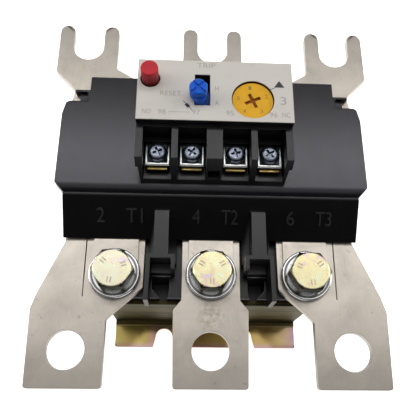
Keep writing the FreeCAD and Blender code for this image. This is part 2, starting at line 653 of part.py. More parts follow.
def panel_holes(z0, z1):
    return [cyl(TEST_X, TEST_Y, z0, z1, TEST_R + FIT), box(SLOT_X0, SLOT_X1, SLOT_Y0, SLOT_Y1, z0, z1)]


def label_plate():
    plate = box(-BLOCK_X, BLOCK_X, LABEL_Y0, CONTROL_Y1, CONTROL_TOP, CONTROL_TOP + LABEL_T)
    holes = [cyl(TEST_X, TEST_Y, CONTROL_TOP - 1, CONTROL_TOP + 1, TEST_R + TEST_RING),
             box(SLOT_X0, SLOT_X1, SLOT_Y0, SLOT_Y1, CONTROL_TOP - 1, CONTROL_TOP + 1),
             cyl(DIAL_X, DIAL_Y, CONTROL_TOP - 1, CONTROL_TOP + 1, DIAL_RECESS_R)]
    return remove(plate, holes)


def terminal_plate(x, contact_side):
    """Brass strip under the screw, bent down to carry its fixed contact."""
    flat = box(x - PLATE_HALF, x + PLATE_HALF, PLATE_Y0, LEG_Y0 + PLATE_T, PLATE_Z0, PLATE_Z0 + PLATE_T)
    leg = box(x - LEG_HALF, x + LEG_HALF, LEG_Y0, LEG_Y0 + PLATE_T, LEG_Z0, PLATE_Z0 + PLATE_T)
    lug = box(x - 2.6, x + 2.6, SCREW_Y - 2.6, SCREW_Y + 2.6, CELL_FLOOR, PLATE_Z0)
    face = LEG_Y0 + PLATE_T if contact_side > 0 else LEG_Y0 - CONTACT_T
    rivet = Part.makeCylinder(CONTACT_R, CONTACT_T, V(x, face, CONTACT_Z), V(0, 1, 0))
    plate = join([flat, leg, lug, rivet])
    return remove(plate, [cyl(x, SCREW_Y, CELL_FLOOR - 1, PLATE_Z0 + 2, SCREW_R + THREAD_CLEAR)])


def clamp_bottom():
    return PLATE_Z0 + PLATE_T


def clamp_washer(x):
    """Square washer with its lower corners turned up a little."""
    z = clamp_bottom()
    plate = box(x - CLAMP_HALF, x + CLAMP_HALF, SCREW_Y - CLAMP_HALF, SCREW_Y + CLAMP_HALF, z, z + CLAMP_T)
    plate = plate.makeChamfer(0.8, vertical_edges(plate, lambda px, py: py > SCREW_Y))
    lip = prism_x([(SCREW_Y - CLAMP_HALF, z), (SCREW_Y - CLAMP_HALF, z + CLAMP_T + 0.6),
                   (SCREW_Y - CLAMP_HALF + 0.7, z + CLAMP_T + 0.6), (SCREW_Y - CLAMP_HALF + 1.2, z)],
                  x - CLAMP_HALF, x + CLAMP_HALF)
    return remove(join([plate, lip]), [cyl(x, SCREW_Y, z - 1, z + 3, SCREW_R + 0.25)])


def control_screw(x):
    """Pan head with a cross recess."""
    z = clamp_bottom() + CLAMP_T
    head = cyl(x, SCREW_Y, z, z + SCREW_HEAD_H, SCREW_HEAD_R)
    head = head.makeFillet(0.9, [edge for edge in head.Edges if abs(edge.BoundBox.ZMin - z - SCREW_HEAD_H) < 1e-6
                                 and edge.BoundBox.ZLength < 1e-6])
    top = z + SCREW_HEAD_H
    cross = [box(x - 2.1, x + 2.1, SCREW_Y - 0.45, SCREW_Y + 0.45, top - 1.3, top + 1),
             box(x - 0.45, x + 0.45, SCREW_Y - 2.1, SCREW_Y + 2.1, top - 1.3, top + 1)]
    return remove(join([head, cyl(x, SCREW_Y, COVER_TOP + 0.2, z, SCREW_R)]), cross)


# ---- dial and adjusting slider --------------------------------------------
def setting_dial():
    top = DIAL_SEAT + DIAL_T
    body = join([cyl(DIAL_X, DIAL_Y, DIAL_SEAT, top, DIAL_R),
                 cyl(DIAL_X, DIAL_Y, BOSS_BOTTOM, DIAL_SEAT, SPINDLE_R)])
    cross = []
    for angle in (25, 115):
        blade = box(-2.9, 2.9, -0.6, 0.6, top - 0.8, top + 1)
        blade.rotate(V(0, 0, 0), V(0, 0, 1), angle)
        blade.translate(V(DIAL_X, DIAL_Y, 0))
        cross.append(blade)
    return remove(body, cross)


def dial_cam():
    """Spiral cam: its radius grows evenly over the dial's turn."""
    count = 16
    points = []
    for step in range(count + 1):
        share = step / count
        radius = CAM_R0 + CAM_RISE * share
        angle = math.radians(-CAM_SPAN * share)
        points.append((DIAL_X + radius * math.cos(angle), DIAL_Y + radius * math.sin(angle)))
    return prism_z(points, CAM_BOTTOM, BOSS_BOTTOM)


def adjust_slider():
    """Bar with a follower beside the cam and the trip lever's pivot pin."""
    z1 = PLATE_TOP + ADJUST_T
    follower = DIAL_X + CAM_R0 + CAM_GAP
    bar = box(PIVOT_X - 2.5, follower + 1.6, PIVOT_Y - 1.6, PIVOT_Y + 1.6, PLATE_TOP, z1)
    tab = box(follower, follower + 1.6, DIAL_Y - 1.0, DIAL_Y + 0.8, z1, BOSS_BOTTOM - 0.6)
    pin = cyl(PIVOT_X, PIVOT_Y, LEVER_Z0 - 0.9, PLATE_TOP, PIVOT_R)
    foot = cyl(PIVOT_X, PIVOT_Y, LEVER_Z0 - 0.9, LEVER_Z0 - 0.1, PIVOT_R + 0.6)
    return join([bar, tab, pin, foot])


def mechanism_plate():
    plate = box(-CAVITY_X + 0.1, CAVITY_X - 0.1, CAVITY_Y0 + 0.1, CAVITY_Y1 - 0.1, COVER_TOP, PLATE_TOP)
    slot = box(PIVOT_X - PIVOT_R - 0.3, PIVOT_X + PIVOT_R + CAM_RISE + 0.3, PIVOT_Y - PIVOT_R - 0.1,
               PIVOT_Y + PIVOT_R + 0.1, COVER_TOP - 1, PLATE_TOP + 1)
    return remove(plate, [slot])


# ---- reset and test -------------------------------------------------------
def reset_knob():
    knob = cyl(RESET_X, RESET_Y, KNOB_Z0, KNOB_Z1, KNOB_R)
    knob = knob.makeChamfer(0.35, [edge for edge in knob.Edges if edge.BoundBox.ZLength < 1e-6])
    cuts = [cyl(RESET_X, RESET_Y, KNOB_Z0 - 1, KNOB_Z1 - NECK_DROP, NECK_R + FIT)]
    for angle in (45, 135):
        blade = box(-KNOB_R - 1, KNOB_R + 1, -0.45, 0.45, KNOB_Z1 - KNOB_CROSS_DEPTH, KNOB_Z1 + 1)
        blade.rotate(V(0, 0, 0), V(0, 0, 1), angle)
        blade.translate(V(RESET_X, RESET_Y, 0))
        cuts.append(blade)
    return remove(knob, cuts)


def reset_plunger():
    """Neck in the knob, round collar over the panel, tongue in its slot, rod inside the return spring."""
    top = KNOB_Z0 - 0.1
    front = SLOT_Y0 + 0.15
    tongue = box(SLOT_X0 + 0.1, SLOT_X0 + 3.8, front, RESET_Y + 2.0, PUSH_BODY_Z0, top)
    tongue = tongue.makeFillet(1.5, vertical_edges(tongue, lambda x, y: y < front + 0.1))
    collar = cyl(RESET_X, RESET_Y, CONTROL_TOP + LABEL_T + RESET_TRAVEL + 0.1, top, KNOB_R - 0.1)
    neck = cyl(RESET_X, RESET_Y, top, KNOB_Z1 - NECK_DROP, NECK_R)
    stop = box(RESET_X - 3.4, RESET_X + 4.0, RESET_Y - 2.9, RESET_Y + 2.9, CAVITY_TOP - STOP_T, CAVITY_TOP)
    shoe = cyl(RESET_X, RESET_Y, PUSH_BODY_Z0, PUSH_BODY_Z0 + 1.2, SPRING_R + 0.6)
    rod = cyl(RESET_X, RESET_Y, ROD_Z0, PUSH_BODY_Z0, ROD_R)
    return join([tongue, collar, neck, stop, shoe, rod])


def test_button():
    cap = cyl(TEST_X, TEST_Y, PUSH_BODY_Z0, TEST_TOP, TEST_R)
    cap = cap.makeFillet(0.4, [edge for edge in cap.Edges if edge.BoundBox.ZMin > TEST_TOP - 0.01])
    stop = box(TEST_X, TEST_X + 5.0, TEST_Y - 1.2, TEST_Y + 1.2, CAVITY_TOP - STOP_T, CAVITY_TOP)
    rod = cyl(TEST_X, TEST_Y, ROD_Z0, PUSH_BODY_Z0, ROD_R)
    return join([cap, stop, rod])


def return_spring(x, y):
    """Round-wire coil between the mechanism plate and the pusher's shoulder."""
    height = PUSH_BODY_Z0 - PLATE_TOP - 2 * SPRING_WIRE
    helix = Part.makeHelix(height / SPRING_TURNS, height, SPRING_R)
    section = Part.Wire([Part.makeCircle(SPRING_WIRE, V(SPRING_R, 0, 0), V(0, 1, 0))])
    coil = Part.Wire(helix.Edges).makePipeShell([section], True, True)
    coil.translate(V(x, y, PLATE_TOP + SPRING_WIRE))
    return coil


# ---- trip mechanism -------------------------------------------------------
def push_slider():
    """Bar behind the three bimetals, with a finger for each and an arm to the trip lever."""
    bar = box(-POLE_PITCH - 2.0, POLE_PITCH + 6.5, PUSH_Y0, PUSH_Y1, PUSH_Z0, PUSH_Z0 + PUSH_H)
    parts = [bar]
    for name, side in POLES:
        face = pole_x(side) + BIMETAL_OFFSET + BIMETAL_T / 2 + TOUCH_GAP
        parts.append(box(face, face + 1.8, PUSH_Y0, PUSH_Y1, PUSH_Z0, BIMETAL_Z1 - 1.0))
    parts.append(box(ARM_X, ARM_X + ARM_T, PUSH_Y0, PUSH_Y1, PUSH_Z0, LEVER_Z0 + LEVER_T))
    return join(parts)


def trip_lever():
    z1 = LEVER_Z0 + LEVER_T
    hub = cyl(PIVOT_X, PIVOT_Y, LEVER_Z0, z1, HUB_R)
    touch = ARM_X + ARM_T + TOUCH_GAP
    tail = prism_z([(PIVOT_X, PIVOT_Y - 1.4), (touch - 0.9, PIVOT_Y - 2.0), (touch + 2.1, PUSH_Y1),
                    (touch, PUSH_Y1), (touch, PUSH_Y0 - 0.2), (touch - 2.7, PIVOT_Y + 0.4),
                    (PIVOT_X, PIVOT_Y + 1.0)], LEVER_Z0, z1)
    arm = box(PIVOT_X - 11.9, PIVOT_X, PIVOT_Y - 1.2, PIVOT_Y + 0.6, LEVER_Z0, z1)
    return remove(join([hub, tail, arm]), [cyl(PIVOT_X, PIVOT_Y, LEVER_Z0 - 1, z1 + 1, PIVOT_R + FIT)])


def bridge_nc_y():
    return LEG_Y0 + PLATE_T + CONTACT_T


def bridge_no_y():
    return LEG_Y0 - CONTACT_T - CARRIER_TRAVEL - BRIDGE_T


def bridge(first, second, y):
    return box(first - BRIDGE_OVER, second + BRIDGE_OVER, y, y + BRIDGE_T, CONTACT_Z - 1.6, CONTACT_Z + 1.6)


def contact_carrier():
    """Carries both bridges: one rests on its contacts, the other waits a travel away."""
    y = bridge_nc_y() + BRIDGE_T
    low = bridge_no_y() - 1.6
    between = (CELL_X[0] + CELL_X[1]) / 2
    touch = PIVOT_Y + 0.6 + TOUCH_GAP
    bar = box(between - 1.35, CELL_X[3] + BRIDGE_OVER, y, y + 2.2, CARRIER_Z0, CARRIER_Z1)
    reach = box(between - 1.35, between + 1.35, low, y + 2.2, CARRIER_Z0, CARRIER_Z1)
    front = box(CELL_X[0] - 0.8, CELL_X[1] + 0.8, low, bridge_no_y(), CARRIER_Z0, CARRIER_Z1)
    web = box(PIVOT_X - 14.3, PIVOT_X - 12.5, y, touch + 1.7, CARRIER_Z0, CARRIER_Z1)
    tab = box(PIVOT_X - 14.3, PIVOT_X - 9.9, touch, touch + 1.7, CARRIER_Z0, CARRIER_Z1)
    return remove(join([bar, reach, front, web, tab]), [bridge(CELL_X[0], CELL_X[1], bridge_no_y())])


# ---- mounting bracket -----------------------------------------------------
def mount_bracket():
    """Slotted foot on the panel and a riser against the base housing."""
    back = DECK_FRONT_Y
    face = back - BRACKET_T
    foot = box(-BRACKET_HALF, BRACKET_HALF, FOOT_Y, back, 0, BRACKET_T)
    foot = foot.makeFillet(1.0, vertical_edges(foot, lambda x, y: y < FOOT_Y + 0.1))
    riser = box(-BRACKET_HALF, BRACKET_HALF, face, back, 0, RISER_TOP)
    body = join([foot, riser])
    bend = [edge for edge in body.Edges if abs(edge.BoundBox.YMin - face) < 1e-6
            and edge.BoundBox.YLength < 1e-6 and abs(edge.BoundBox.ZMin - BRACKET_T) < 1e-6
            and edge.BoundBox.ZLength < 1e-6]
    body = body.makeFillet(0.8, bend)
    cuts = []
    for x in (-BRACKET_SLOT_X - LEFT_SHIFT, BRACKET_SLOT_X - LEFT_SHIFT):
        cuts.append(cyl(x, BRACKET_SLOT_Y, -1, BRACKET_T + 1, BRACKET_SLOT_HALF))
        cuts.append(prism_z([(x - BRACKET_SLOT_HALF, BRACKET_SLOT_Y), (x + BRACKET_SLOT_HALF, BRACKET_SLOT_Y),
                             (x + SLOT_MOUTH_HALF, FOOT_Y - 0.1), (x - SLOT_MOUTH_HALF, FOOT_Y - 0.1)],
                            -1, BRACKET_T + 1))
    for x in (-BRACKET_SCREW_X, BRACKET_SCREW_X):
        cuts.append(Part.makeCylinder(BRACKET_SCREW_R + 0.15, BRACKET_T + 2,
                                      V(x, face - 1, BRACKET_SCREW_Z), V(0, 1, 0)))
    return remove(body, cuts)


def bracket_screw(x):
    face = DECK_FRONT_Y - BRACKET_T
    shaft = Part.makeCylinder(BRACKET_SCREW_R, BRACKET_T + BRACKET_SCREW_DEPTH,
                              V(x, face, BRACKET_SCREW_Z), V(0, 1, 0))
    head = Part.makeCylinder(3.4, 2.2, V(x, face - 2.2, BRACKET_SCREW_Z), V(0, 1, 0))
    recess = Part.makeCylinder(1.2, 1.2, V(x, face - 2.2, BRACKET_SCREW_Z), V(0, 1, 0))
    return remove(join([shaft, head]), [recess])


# ---- the whole relay ------------------------------------------------------
def group(make, places):
    return Part.makeCompound([make(place) for place in places])


def main():
    os.makedirs("parts", exist_ok=True)
    bar = outer_bar()
    fork = outer_fork()
    save("load_bar_left", flip(bar))
    save("load_bar_middle", middle_bar())
    save("load_bar_right", bar)
    save("line_fork_left", flip(fork))
    save("line_fork_middle", middle_fork())
    save("line_fork_right", fork)
    for name, side in POLES:
        save("heater_strap_" + name, heater_strap(side))
        save("bimetal_" + name, bimetal(side))
    sides = [side for name, side in POLES]
    save("link_blocks", group(link_block, sides))
    save("conductor_rivets", group(conductor_rivet, sides))
    save("flat_washers", group(flat_washer, sides))
    save("spring_washers", group(spring_washer, sides))
    save("terminal_bolts", group(terminal_bolt, sides))
    save("captive_nuts", group(captive_nut, sides))
    save("base_housing", base_housing())
    save("front_cover", front_cover())
    save("terminal_cover", terminal_cover())
    save("control_housing", control_housing())
    save("label_plate", label_plate())
    for name, x, contact_side in (("98", CELL_X[0], -1), ("97", CELL_X[1], -1),
                                  ("95", CELL_X[2], 1), ("96", CELL_X[3], 1)):
        save("terminal_" + name, terminal_plate(x, contact_side))
    save("clamp_washers", group(clamp_washer, CELL_X))
    save("control_screws", group(control_screw, CELL_X))
    save("setting_dial", setting_dial())
    save("dial_cam", dial_cam())
    save("adjust_slider", adjust_slider())
    save("mechanism_plate", mechanism_plate())
    save("reset_knob", reset_knob())
    save("reset_plunger", reset_plunger())
    save("reset_spring", return_spring(RESET_X, RESET_Y))
    save("test_button", test_button())
    save("test_spring", return_spring(TEST_X, TEST_Y))
    save("push_slider", push_slider())
    save("trip_lever", trip_lever())
    save("contact_carrier", contact_carrier())
    save("bridge_nc", bridge(CELL_X[2], CELL_X[3], bridge_nc_y()))
    save("bridge_no", bridge(CELL_X[0], CELL_X[1], bridge_no_y()))
    save("mount_bracket", mount_bracket())
    save("bracket_screws", group(bracket_screw, (-BRACKET_SCREW_X, BRACKET_SCREW_X)))


main()
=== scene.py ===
import bpy
import json
import math
from mathutils import Matrix, Vector
from mathutils.bvhtree import BVHTree

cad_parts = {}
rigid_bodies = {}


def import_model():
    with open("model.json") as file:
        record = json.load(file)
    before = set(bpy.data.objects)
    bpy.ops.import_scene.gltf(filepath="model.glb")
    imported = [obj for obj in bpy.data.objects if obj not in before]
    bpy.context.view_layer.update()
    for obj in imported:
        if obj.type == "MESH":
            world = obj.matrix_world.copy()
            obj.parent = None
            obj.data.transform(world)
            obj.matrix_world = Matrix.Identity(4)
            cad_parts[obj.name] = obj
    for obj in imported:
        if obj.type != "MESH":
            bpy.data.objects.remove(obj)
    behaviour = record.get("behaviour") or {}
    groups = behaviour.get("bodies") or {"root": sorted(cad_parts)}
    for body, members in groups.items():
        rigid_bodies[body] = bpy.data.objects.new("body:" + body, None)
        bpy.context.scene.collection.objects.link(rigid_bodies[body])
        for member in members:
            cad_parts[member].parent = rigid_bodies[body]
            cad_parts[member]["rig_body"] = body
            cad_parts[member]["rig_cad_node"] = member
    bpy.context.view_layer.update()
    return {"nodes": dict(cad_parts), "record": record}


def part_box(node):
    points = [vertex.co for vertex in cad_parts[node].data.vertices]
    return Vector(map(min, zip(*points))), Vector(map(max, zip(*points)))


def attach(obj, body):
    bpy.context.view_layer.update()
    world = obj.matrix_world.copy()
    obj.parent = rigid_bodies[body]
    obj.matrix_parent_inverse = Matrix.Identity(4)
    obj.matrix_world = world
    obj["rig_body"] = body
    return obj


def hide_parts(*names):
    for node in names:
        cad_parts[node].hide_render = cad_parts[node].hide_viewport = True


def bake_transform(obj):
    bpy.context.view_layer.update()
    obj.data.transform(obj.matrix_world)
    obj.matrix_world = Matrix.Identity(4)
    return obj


bl_info = {
    "name": "Thermal Overload Relay",
    "version": (1, 0, 0),
    "blender": (4, 5, 0),
    "location": "View3D > Sidebar > Relay",
    "description": "Dresses a three-pole thermal overload relay, piece by piece",
    "category": "Object",
}

MM = 0.001
WELD = 0.002 * MM                   # points this close become one
FLAT = math.radians(0.4)            # faces this near to one plane count as one
ROUND_PARTS = 50.0                  # degrees; rounds the rims but not the facets of turned parts
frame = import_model()
NODES = frame["nodes"]


# ---- places read from the frame ----
def low(node):
    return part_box(node)[0]


def high(node):
    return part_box(node)[1]


def centre(node):
    first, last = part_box(node)
    return (first + last) / 2


def mount_place(name):
    for mount in frame["record"]["mounts"]:
        if mount["name"] == name:
            return Vector(mount["pos_m"])
    raise RuntimeError("no mount named " + name)


def surface(node, x, y):
    """Point and normal of a node's upper surface above x, y."""
    mesh = NODES[node].data
    tree = BVHTree.FromPolygons([vertex.co for vertex in mesh.vertices],
                                [tuple(face.vertices) for face in mesh.polygons])
    place, normal = tree.ray_cast(Vector((x, y, 1.0)), Vector((0, 0, -1)))[:2]
    if place is None:
        raise RuntimeError("nothing of " + node + " lies there")
    return place, normal


PANEL_TOP = high("label_plate").z
DIAL_TOP = high("setting_dial").z
DIAL_X, DIAL_Y = centre("setting_dial").x, centre("setting_dial").y
BOLT_Y = centre("terminal_bolts").y
HOLE_Y = mount_place("load_bar_holes").y
POLE_PITCH = centre("heater_strap_right").x


def srgb(red, green, blue):
    """Scene-linear colour from the usual 0 to 255 values."""
    def linear(value):
        value /= 255
        return value / 12.92 if value <= 0.04045 else ((value + 0.055) / 1.055) ** 2.4
    return linear(red), linear(green), linear(blue)


# ---- what a user may change ----
def length(name, text, default):
    return bpy.props.FloatProperty(name=name, description=text, default=default * MM, unit="LENGTH",
                                   min=0.0, precision=5)


def colour(name, text, default):
    return bpy.props.FloatVectorProperty(name=name, description=text, default=srgb(*default),
                                         subtype="COLOR", min=0.0, max=1.0)


class RelaySizes(bpy.types.PropertyGroup):
    moulded_edge: length("Moulded edge", "Radius of the housings' outer edges", 0.35)
    fine_edge: length("Fine edge", "Radius of edges on small moulded parts", 0.18)
    sheared_edge: length("Sheared edge", "Radius left on punched metal edges", 0.22)
    small_metal_edge: length("Small metal edge", "Radius on washers, plates and screw heads", 0.12)
    print_height: length("Print height", "Height of the small printed words", 1.9)
    print_rise: length("Print rise", "Thickness of the printed ink", 0.03)
    emboss_height: length("Embossed height", "Height of the terminal marks on the sloped cover", 5.3)
    emboss_rise: length("Embossed rise", "How far the terminal marks stand proud", 0.25)
    emboss_inset: length("Embossed inset", "From the sloped cover's back to the terminal marks", 7.2)
    screw_recess: length("Screw recess", "Depth of the cross recess in a terminal screw", 1.3)
    washer_edge: length("Washer edge", "Radius of the flat washers' pressed edges", 0.55)
    bolt_flat: length("Bolt flat", "Radius of the round flat on top of each hexagon head", 6.2)


class RelayColours(bpy.types.PropertyGroup):
    hood: colour("Hood", "Plastic of the hood and the control block", (17, 16, 20))
    base: colour("Base", "Plastic of the base and the sloped cover", (8, 8, 9))
    panel: colour("Panel", "Label plate on the control block", (216, 211, 203))
    ink: colour("Ink", "Printed words and numbers", (176, 171, 165))
    dark_ink: colour("Dark ink", "Printed pointer and contact mark", (50, 49, 51))
    tinned: colour("Tinned copper", "Bars, straps and forks", (190, 182, 172))
    stain: colour("Stain", "Marks of handling on the tinned copper", (122, 110, 98))
    bolt: colour("Bolt", "Pale yellow zinc of the terminal bolts", (208, 201, 162))
    zinc: colour("Zinc", "Bright zinc of washers and screws", (176, 177, 174))
    brass: colour("Brass", "Control terminal plates", (120, 104, 62))
    copper: colour("Copper", "Bare copper links and rivets", (186, 110, 76))
    bracket: colour("Bracket", "Yellow zinc in the middle of the mounting bracket", (232, 204, 128))
    dial: colour("Dial", "Setting dial", (240, 181, 42))
    dial_slot: colour("Dial slot", "Floor of the dial's cross slot", (150, 78, 8))
    reset: colour("Reset", "Reset knob and plunger", (4, 92, 205))
    test: colour("Test", "Test button", (196, 48, 58))
    natural: colour("Natural plastic", "Inner mechanism parts", (214, 208, 192))
    floor: colour("Floor", "Plain floor under the relay", (250, 250, 250))


def sizes():
    return bpy.context.scene.relay_sizes


def shade_of(name):
    return tuple(getattr(bpy.context.scene.relay_colours, name))


# ---- node materials ----
class Wiring:
    """Adds shader nodes to one node tree and links them up."""

    def __init__(self, tree):
        self.tree = tree

    def node(self, kind, **values):
        made = self.tree.nodes.new(kind)
        for name, value in values.items():
            setattr(made, name, value)
        return made

    def link(self, source, target):
        self.tree.links.new(source, target)

    def spread(self, value, low_in, high_in, low_out=0, high_out=1):
        """Maps low_in to high_in onto low_out to high_out, and stays at those ends beyond them."""
        remap = self.node("ShaderNodeMapRange", clamp=True)
        for name, number in (("From Min", low_in), ("From Max", high_in),
                             ("To Min", low_out), ("To Max", high_out)):
            remap.inputs[name].default_value = number
        self.link(value, remap.inputs["Value"])
        return remap.outputs["Result"]

    def maths(self, operation, *values):
        step = self.node("ShaderNodeMath", operation=operation)
        for socket, value in zip(step.inputs, values):
            if isinstance(value, (int, float)):
                socket.default_value = value
            else:
                self.link(value, socket)
        return step.outputs["Value"]


class Finish(Wiring):
    """One node material, built round its Principled shader; patterns use Object coordinates."""

    def __init__(self, name):
        self.material = bpy.data.materials.new(name)
        self.material.use_nodes = True
        super().__init__(self.material.node_tree)
        self.shader = self.tree.nodes["Principled BSDF"]
        self.place = self.node("ShaderNodeTexCoord").outputs["Object"]

    def plain(self, **values):
        """Sets plain values on the shader and gives back the material."""
        for name, value in values.items():
            socket = self.shader.inputs[name.replace("_", " ")]
            socket.default_value = (*value, 1.0) if isinstance(value, tuple) else value
        return self.material

    def stretched(self, *scale):
        """Object coordinates scaled along each axis, for grain that runs one way."""
        mapping = self.node("ShaderNodeMapping")
        mapping.inputs["Scale"].default_value = scale
        self.link(self.place, mapping.inputs["Vector"])
        return mapping.outputs["Vector"]

    def noise(self, size, detail=3.0, rough=0.55, vector=None, distortion=0.0):
        """Noise whose lumps are about size metres across."""
        noise = self.node("ShaderNodeTexNoise")
        noise.inputs["Scale"].default_value = 1 / size
        noise.inputs["Detail"].default_value = detail
        noise.inputs["Roughness"].default_value = rough
        noise.inputs["Distortion"].default_value = distortion
        self.link(vector or self.place, noise.inputs["Vector"])
        return noise.outputs["Fac"]

    def blend(self, factor, first, second):
        """Colour that goes from first to second as factor goes from 0 to 1."""
        mix = self.node("ShaderNodeMix", data_type="RGBA")
        self.link(factor, mix.inputs["Factor"])
        for socket, value in ((mix.inputs[6], first), (mix.inputs[7], second)):
            if isinstance(value, tuple):
                socket.default_value = (*value, 1.0)
            else:
                self.link(value, socket)
        return mix.outputs[2]

    def ramp(self, value, stops):
        ramp = self.node("ShaderNodeValToRGB")
        points = ramp.color_ramp.elements
        while len(points) < len(stops):
            points.new(0.5)
        for point, (position, shade) in zip(points, stops):
            point.position = position
            point.color = (*shade, 1.0)
        self.link(value, ramp.inputs["Fac"])
        return ramp.outputs["Color"]

    def axis(self, letter):
        """One of the Object coordinates, in metres."""
        split = self.node("ShaderNodeSeparateXYZ")
        self.link(self.place, split.inputs["Vector"])
        return split.outputs[letter]

    def distance_from(self, x, y, pitch=None):
        """Distance in plan from a vertical axis, or from the nearest of a row of them along X."""
        across = self.maths("SUBTRACT", self.axis("X"), x)
        if pitch:
            across = self.maths("WRAP", across, pitch / 2, -pitch / 2)
        along = self.maths("SUBTRACT", self.axis("Y"), y)
        return self.maths("SQRT", self.maths("ADD", self.maths("MULTIPLY", across, across),
                                             self.maths("MULTIPLY", along, along)))

    def colour(self, socket):
        self.link(socket, self.shader.inputs["Base Color"])

    def roughness(self, socket):
        self.link(socket, self.shader.inputs["Roughness"])

    def gloss(self, size, detail, least, most):
        """Roughness that drifts between two values over patches of about that size."""
        self.roughness(self.spread(self.noise(size, detail), 0.3, 0.7, least, most))

    def bump(self, height, depth, strength=1.0):
        """Relief of depth metres where height goes from 0 to 1; several calls are stacked."""
        bump = self.node("ShaderNodeBump")
        bump.inputs["Distance"].default_value = depth
        bump.inputs["Strength"].default_value = strength
        self.link(height, bump.inputs["Height"])
        normal = self.shader.inputs["Normal"]
        if normal.is_linked:
            self.link(normal.links[0].from_socket, bump.inputs["Normal"])
        self.link(bump.outputs["Normal"], normal)


def darker(shade, factor):
    return tuple(value * factor for value in shade)


def moulded_plastic(name, shade, rough, specular, sheen=(1.0, 1.0, 1.0)):
    """Moulded plastic: fine spark grain, slow shade changes and a little pale dust."""
    finish = Finish(name)
    slow = finish.noise(0.02, 2.0)
    dust = finish.spread(finish.noise(0.0011, 6.0, 0.7), 0.66, 0.78, 0.0, 0.2)
    tone = finish.blend(finish.spread(slow, 0.3, 0.7), darker(shade, 0.85), darker(shade, 1.15))
    finish.colour(finish.blend(dust, tone, tuple(min(1.0, value * 1.5 + 0.006) for value in shade)))
    finish.roughness(finish.spread(finish.noise(0.004, 3.0), 0.2, 0.8, rough - 0.02, rough + 0.03))
    finish.bump(finish.noise(0.00035, 2.0), 0.000012)
    return finish.plain(Specular_IOR_Level=specular, Specular_Tint=sheen)


def panel_paint():
    """Satin grey plate: very fine texture, faint marks of handling."""
    paint = shade_of("panel")
    finish = Finish("panel_grey")
    marks = finish.spread(finish.noise(0.006, 5.0, 0.65), 0.55, 0.75, 0.0, 0.5)
    finish.colour(finish.blend(marks, paint, darker(paint, 0.84)))
    finish.gloss(0.002, 3.0, 0.42, 0.56)
    finish.bump(finish.noise(0.00025, 2.0), 0.000006)
    return finish.plain(Specular_IOR_Level=0.4)


def tinned_copper():
    """Tin over rolled copper: grain along the bar, stains, a smudge, and painted shade towards the free
    ends.
    """
    tin, stain = shade_of("tinned"), shade_of("stain")
    finish = Finish("tinned_copper")
    grain = finish.noise(0.0004, 5.0, 0.6, finish.stretched(1.0, 0.07, 1.0))
    cloud = finish.noise(0.013, 4.0, 0.6, distortion=0.6)
    spots = finish.spread(finish.noise(0.0022, 3.0, 0.6), 0.64, 0.74, 0.0, 1.0)
    tone = finish.blend(finish.spread(cloud, 0.35, 0.7), tin, darker(tin, 0.78))
    tone = finish.blend(finish.spread(grain, 0.35, 0.75, 0, 0.35), tone, darker(tin, 1.12))
    # Painted shade: the bars darken towards their free ends, where the light falls off.
    free_end = low("load_bar_middle").y
    end_painted_shade = finish.spread(finish.axis("Y"), free_end + 4 * MM, HOLE_Y + 10 * MM, 0.42, 0)
    tone = finish.blend(end_painted_shade, tone, darker(tin, 0.45))
    from_smudge = finish.distance_from(0.3 * MM, HOLE_Y + 11.5 * MM)
    smudge = finish.maths("MULTIPLY", finish.spread(from_smudge, 2.0 * MM, 6.5 * MM, 1.0, 0.0),
                          finish.spread(finish.noise(0.0016, 4.0, 0.65), 0.42, 0.62, 0, 0.6))
    marks = finish.maths("MAXIMUM", finish.maths("MULTIPLY", spots, 0.4), smudge)
    finish.colour(finish.blend(marks, tone, stain))
    finish.roughness(finish.spread(cloud, 0.3, 0.7, 0.36, 0.46))
    finish.bump(grain, 0.000012)
    finish.bump(cloud, 0.00005, 0.35)
    return finish.plain(Metallic=1.0)


def chromated_zinc(name, shade, tints, rough, lump):
    """Passivated zinc: thin-film tints that drift over the surface, fine grain of the sheet."""
    finish = Finish(name)
    drift = finish.noise(lump, 3.0, 0.55, distortion=1.2)
    film = finish.ramp(finish.spread(drift, 0.3, 0.7), tints)
    fine = finish.noise(0.0003, 4.0, 0.6)
    finish.colour(finish.blend(finish.spread(fine, 0.3, 0.7, 0.55, 0.85), shade, film))
    finish.gloss(0.003, 3.0, rough - 0.06, rough + 0.1)
    finish.bump(fine, 0.000002)
    return finish.plain(Metallic=1.0)


